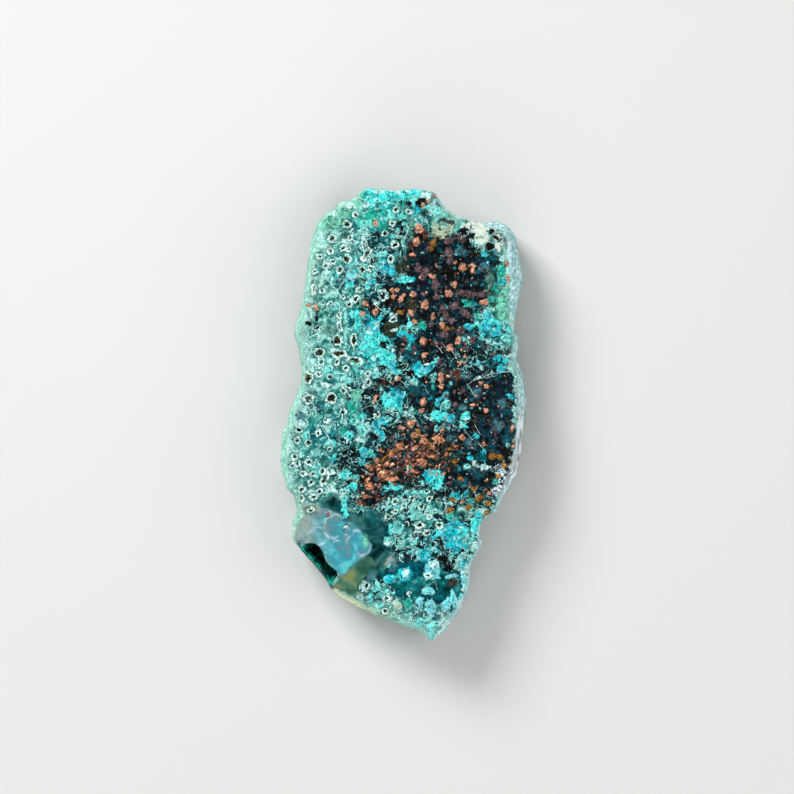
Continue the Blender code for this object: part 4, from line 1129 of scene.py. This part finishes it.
    # lower down they are plain broken stone: milky bands, fine dark cracks and a few earthy stains
    broad = f.noise("wall")
    wall = f.mix(0.5, f.ramp(broad, "wall"), f.ramp(frosting, "wallShade"), "MULTIPLY")
    for name in ("stain", "blue"):
        wall = f.lay(f.where(name), wall, name)
    wall = f.lay(f.read("coreGap").within("nearCore") * broad.within("darkWall"), wall, "darkWall")
    wall = f.lay(abs(f.noise("crack") - 0.5).within("crack"), wall, "crack")
    frost = f.mix(f.read("wallMask"), frost, wall)
    colour = f.mix(f.read("sideMask"), colour, frost)
    cream = (f.read("facetGap") + (cloud - 0.5) * 5.0).within("cream") * f.read("wallMask").within("offWall")
    colour = f.mix(cream, colour, f.ramp(middle, "facet"))
    colour = f.mix(f.read("pocketMask"), colour, f.tinted("pocket"))
    return f.finished(colour, rough * 0.25 + 0.3, 0.08, lumps * -0.6 + fine, 0.16, rough * 0.5 + 0.06)


def finishPiece(item):
    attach(item, "root")


def placeStone():
    mesh, points, patched = shapeStone()
    paintStone(mesh, points, patched)
    mesh.materials.clear()
    mesh.materials.append(stoneFinish())
    item = newObject("stoneBody", mesh)
    finishPiece(item)
    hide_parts("chrysocolla_stone")
    print("stone:", sum(len(p.vertices) - 2 for p in mesh.polygons), "triangles")


# how the lumps' tints are mottled: darkest grey, roughness, gloss
crumbLooks = {
    "mineralGrains": (110, 0.6, 0.15),
    "turquoiseFlakes": (130, 0.5, 0.15),
    "whiteFroth": (170, 0.6, 0.1),
}


def tintFinish(name):
    # the lump's own tint, mottled
    darkest, roughness, gloss = crumbLooks[name]
    ramps[name] = [(0.38, darkest, darkest, darkest), (0.5, 226, 226, 226), (0.58, 255, 255, 255)]
    f = Finish(name)
    fine = f.noise("crumb")
    body = f.mix(1.0, f.read("tint", "Color"), f.ramp(fine, name), "MULTIPLY")
    body = f.lay(fine.within("crumbLight"), body, "crumbLight", "SOFT_LIGHT")
    return f.finished(body, roughness, gloss, fine, 0.08, 0.3)


class Crumbs:
    # many small lumps gathered into one piece, each with its own tint

    def __init__(self, name, wobble):
        self.name, self.wobble = name, wobble
        self.rows = []

    def add(self, x, y, sizes, turn, tint, sink=0.3):
        self.rows.append((x, y, sizes, turn, tint, sink))

    def build(self):
        x, y = np.array([row[:2] for row in self.rows]).T
        reach, inner = faceInside(x, y)
        height = faceHeight(x, y, patchedAt(x, y)["patchLift"])
        height = stone["thickness"] + (height - stone["thickness"]) * inner
        kept = [(row, z) for row, z, edge in zip(self.rows, height, reach) if edge > row[2][0] * 0.6]
        highest = cadBox[1][2] - 0.01 * mm
        shape = bmesh.new()
        for start in range(0, len(kept), 250):  # a few at a time, because each lump slows the next
            few = bmesh.new()
            layer = few.verts.layers.float_color.new("tint")
            for (px, py, sizes, turn, tint, sink), z in kept[start : start + 250]:
                place = Matrix.Translation((px * mm, py * mm, (z - sink * sizes[2]) * mm))
                place = place @ Matrix.Rotation(math.radians(turn), 4, "Z")
                place = place @ Matrix.Diagonal((*(size * mm for size in sizes), 1.0))
                made = bmesh.ops.create_icosphere(few, subdivisions=1, radius=1.0, matrix=place)
                for v in made["verts"]:
                    v[layer] = tint
            mesh = newMesh(few, "few")
            shape.from_mesh(mesh)
            bpy.data.meshes.remove(mesh)
        for v in shape.verts:
            push = noise.noise_vector(v.co / mm / 0.45) * self.wobble * mm
            v.co.x += push.x
            v.co.y += push.y
            v.co.z = min(v.co.z + push.z * 0.4, highest)
        for f in shape.faces:
            f.smooth = True
        mesh = newMesh(shape, self.name)
        mesh.materials.append(tintFinish(self.name))
        finishPiece(newObject(self.name, mesh))
        print(self.name + ":", len(mesh.polygons), "triangles")


def scattered(seed, count, low, high, keep):
    # places spread over a rectangle where keep is true
    dice = np.random.default_rng(seed)
    found = np.empty((0, 2))
    while len(found) < count:
        tries = dice.uniform(low, high, (3000, 2))
        found = np.concatenate([found, tries[keep(tries[:, 0], tries[:, 1], dice)]])
    return found[:count]


def varied(rng, colour, amount):
    # one colour, a little lighter or darker
    scale = 1.0 + rng.uniform(-amount, amount)
    return display(*[min(255, max(0, c * scale)) for c in colour])


grains = {
    "copper": (230, 178, 150),
    "copperWarm": (212, 152, 120),
    "copperDeep": (174, 118, 92),
    "brown": (88, 60, 46),
    "teal": (28, 120, 128),
    "mauve": (130, 110, 114),
    "olive": (96, 92, 48),
    "black": (8, 10, 13),
    "ochre": (176, 130, 62),
    "crimson": (128, 54, 60),
    "height": 0.26,
    "looseHeight": (0.17, 0.18),
    "looseSize": (0.1, 0.36),
    "rustCount": 230,
    "coreCount": 280,
    "rustKinds": "copper copper copperDeep brown brown mauve crimson black olive teal".split(),
    "coreKinds": "copper brown brown mauve mauve black black black teal olive".split(),
}


def placeGrains():
    rng = random.Random(7)
    lumps = Crumbs("mineralGrains", 0.3)
    for spots, kind in zip(singles.values(), ("copper", "mauve", "black", "ochre")):
        for x, y, wide, tall, turn in spots:
            colour = grains["copperWarm" if kind == "copper" and y < -4.0 else kind]
            tint = varied(rng, colour, 0.14)
            lumps.add(x, y, (wide * 0.72, tall * 0.72, grains["height"]), turn, tint)
            for run in range(3):
                # smaller lumps at the rim make each grain uneven
                angle = rng.uniform(0, math.tau)
                px, py = x + wide * 0.45 * math.cos(angle), y + tall * 0.45 * math.sin(angle)
                tint = varied(rng, colour, 0.16)
                lumps.add(px, py, (wide * 0.4, tall * 0.4, grains["height"]), turn, tint)

    def inRust(x, y, dice):
        return edgeGap(x, y, areas["rust"]) > dice.uniform(-1.4, 0.6, len(x))

    def loose(x, y, kind, longest, height):
        size = rng.uniform(*grains["looseSize"])
        tint = varied(rng, grains[kind], 0.3)
        return x, y, (size * rng.uniform(1.0, longest), size, height), tint

    low, high = grains["looseHeight"]
    for x, y in scattered(5, grains["rustCount"], (-10.5, -19.5), (13.0, -3.0), inRust):
        kind = rng.choice(grains["rustKinds"])
        if kind == "crimson" and math.hypot(x - 3.0, y + 8.0) > 3.5:
            kind = "mauve"
        x, y, sizes, tint = loose(x, y, kind, 2.6, low)
        lumps.add(x, y, sizes, rng.gauss(40, 30), tint)

    raised = [spot for tone, *spot in patches if tone in raisedTones]

    def inCore(x, y, dice):
        return (edgeGap(x, y, areas["core"]) > 0.8) & (spotGap(x, y, raised) < 0.0)

    for x, y in scattered(6, grains["coreCount"], (-11.0, -18.0), (22.0, 36.0), inCore):
        x, y, sizes, tint = loose(x, y, rng.choice(grains["coreKinds"]), 1.6, high)
        lumps.add(x, y, sizes, rng.uniform(0, 180), tint)
    lumps.build()


flakes = {
    "tones": "TCEWF",
    "spacing": 0.72,
    "share": 0.62,
    "whiteShare": 0.08,
    "darkShare": 0.1,
    "smallest": 0.12,
    "largest": 0.26,
    "longest": 3.2,
    "height": 0.24,
}


def placeFlakes():
    rng = random.Random(21)
    lumps = Crumbs("turquoiseFlakes", 0.14)
    for tone, x, y, wide, tall, turn in patches:
        if tone not in flakes["tones"]:
            continue
        count = int(math.pi * wide * tall / flakes["spacing"] ** 2 * flakes["share"])
        heading = rng.uniform(0, 180)
        for run in range(max(count, 1)):
            reach = math.sqrt(rng.random()) * 1.12
            angle = rng.uniform(0, math.tau)
            dx, dy = turned(wide * reach * math.cos(angle), tall * reach * math.sin(angle), turn)
            size = rng.uniform(flakes["smallest"], flakes["largest"])
            colour = tones[tone]
            if rng.random() < flakes["whiteShare"]:
                colour = tones["W"]
            elif rng.random() < flakes["darkShare"]:
                colour = tones["D"]
            tint = varied(rng, colour, 0.14)
            long = size * rng.uniform(1.3, flakes["longest"])
            lumps.add(x + dx, y + dy, (long, size, flakes["height"]), heading + rng.gauss(0, 40), tint)
    lumps.build()


froth = {
    "rim": (206, 242, 234),
    "rimSize": (0.24, 0.2, 0.14),
    "rimGap": 0.2,
    "missing": 0.35,
    "thread": (208, 242, 236),
    "threadSize": (0.22, 0.13),
    "curl": (200, 242, 234),
    "curlSize": (0.16, 0.14),
    "clusters": 420,
    "smallest": 0.05,
    "largest": 0.12,
}


def placeFroth():
    rng = random.Random(33)
    lumps = Crumbs("whiteFroth", 0.1)
    length, width, height = froth["rimSize"]
    for x, y, wide, tall, turn in mouths:
        # a broken ring of crumbs round each tube mouth
        count = max(7, int((math.pi * (wide + tall) + 0.6) / froth["rimGap"]))
        for step in range(count):
            if rng.random() < froth["missing"]:
                continue
            angle = math.tau * (step + rng.uniform(-0.25, 0.25)) / count
            out = rng.uniform(-0.08, 0.22)
            dx, dy = turned((wide + out) * math.cos(angle), (tall + out) * math.sin(angle), turn)
            sizes = (length, width * rng.uniform(0.4, 1.1), height)
            tint = varied(rng, froth["rim"], 0.1)
            lumps.add(x + dx, y + dy, sizes, math.degrees(angle) + 90.0 + turn, tint, 0.0)
    length, height = froth["threadSize"]
    for ax, ay, bx, by, half in threads:
        count = max(2, int(math.hypot(bx - ax, by - ay) / 0.22))
        heading = math.degrees(math.atan2(by - ay, bx - ax))
        for step in range(count + 1):
            px = ax + (bx - ax) * step / count + rng.uniform(-0.05, 0.05)
            py = ay + (by - ay) * step / count + rng.uniform(-0.05, 0.05)
            tint = varied(rng, froth["thread"], 0.1)
            lumps.add(px, py, (length, half * rng.uniform(0.7, 1.1), height), heading, tint, 0.1)
    zones = [areas[name] for name in ("core", "glass", "lobe", "olive", "deep")] + [stone["pocket"]]
    solid = [spot for tone, *spot in patches if tone == "T"]

    def onPale(x, y, dice):
        clear = np.max([edgeGap(x, y, ring) for ring in zones], axis=0) < -0.3
        return clear & (edgeGap(x, y, stone["outline"]) > 0.8) & (spotGap(x, y, solid) < 0.0)

    length, height = froth["curlSize"]
    for x, y in scattered(8, froth["clusters"], (-24.0, -45.0), (24.0, 45.0), onPale):
        # a curling thread of crumbs
        lean = rng.uniform(0, math.tau)
        bend = rng.gauss(0, 0.5)
        size = rng.uniform(froth["smallest"], froth["largest"])
        tint = varied(rng, froth["curl"], 0.12)
        for step in range(rng.randint(3, 8)):
            lumps.add(x, y, (length, size, height), math.degrees(lean), tint, 0.1)
            x += 0.2 * math.cos(lean)
            y += 0.2 * math.sin(lean)
            lean += bend + rng.gauss(0, 0.25)
    lumps.build()


studio = {
    "floorSize": 3.0,
    "floorColour": (218, 218, 216),
    "skyStrength": 0.23,
    "keyPower": 6.4,
    "sidePower": 1.9,
    "cameraHeight": 700.0,
    "cameraOver": (-1.3, 3.55),
    "frameWidth": 157.6,
    "sensor": 36.0,
}


def softLight(name, place, size, power):
    data = bpy.data.lights.new(name, "AREA")
    data.shape = "SQUARE"
    data.size = size
    data.energy = power
    item = newObject(name, data)
    item.location = place
    item.rotation_euler = (-Vector(place)).to_track_quat("-Z", "Y").to_euler()


def makeStudio():
    scene = bpy.context.scene
    shape = bmesh.new()
    bmesh.ops.create_grid(shape, x_segments=1, y_segments=1, size=studio["floorSize"] / 2.0)
    floor = newObject("floor", newMesh(shape, "floor"))
    paint = bpy.data.materials.new("floorPaint")
    paint.use_nodes = True
    surface = paint.node_tree.nodes["Principled BSDF"]
    surface.inputs["Base Color"].default_value = display(*studio["floorColour"])
    surface.inputs["Roughness"].default_value = 0.8
    floor.data.materials.append(paint)

    scene.world = bpy.data.worlds.new("sky")
    scene.world.use_nodes = True
    sky = scene.world.node_tree.nodes["Background"]
    sky.inputs["Color"].default_value = (1.0, 1.0, 1.0, 1.0)
    sky.inputs["Strength"].default_value = studio["skyStrength"]
    softLight("keyLight", (-0.4, 0.5, 0.5), 0.35, studio["keyPower"])
    softLight("sideLight", (0.5, -0.1, 0.5), 0.6, studio["sidePower"])
    softLight("lowLight", (-0.1, -0.55, 0.45), 0.6, studio["sidePower"])

    lens = bpy.data.cameras.new("camera")
    lens.sensor_width = studio["sensor"]
    far = studio["cameraHeight"] - stone["thickness"]
    lens.lens = studio["sensor"] * far / studio["frameWidth"]
    lens.clip_end = 10.0
    scene.camera = newObject("camera", lens)
    scene.camera.location = [v * mm for v in (*studio["cameraOver"], studio["cameraHeight"])]
    scene.view_settings.view_transform = "Standard"


makeStudio()
print("studio ready")
placeStone()
placeGrains()
placeFlakes()
placeFroth()
print("pieces ready")
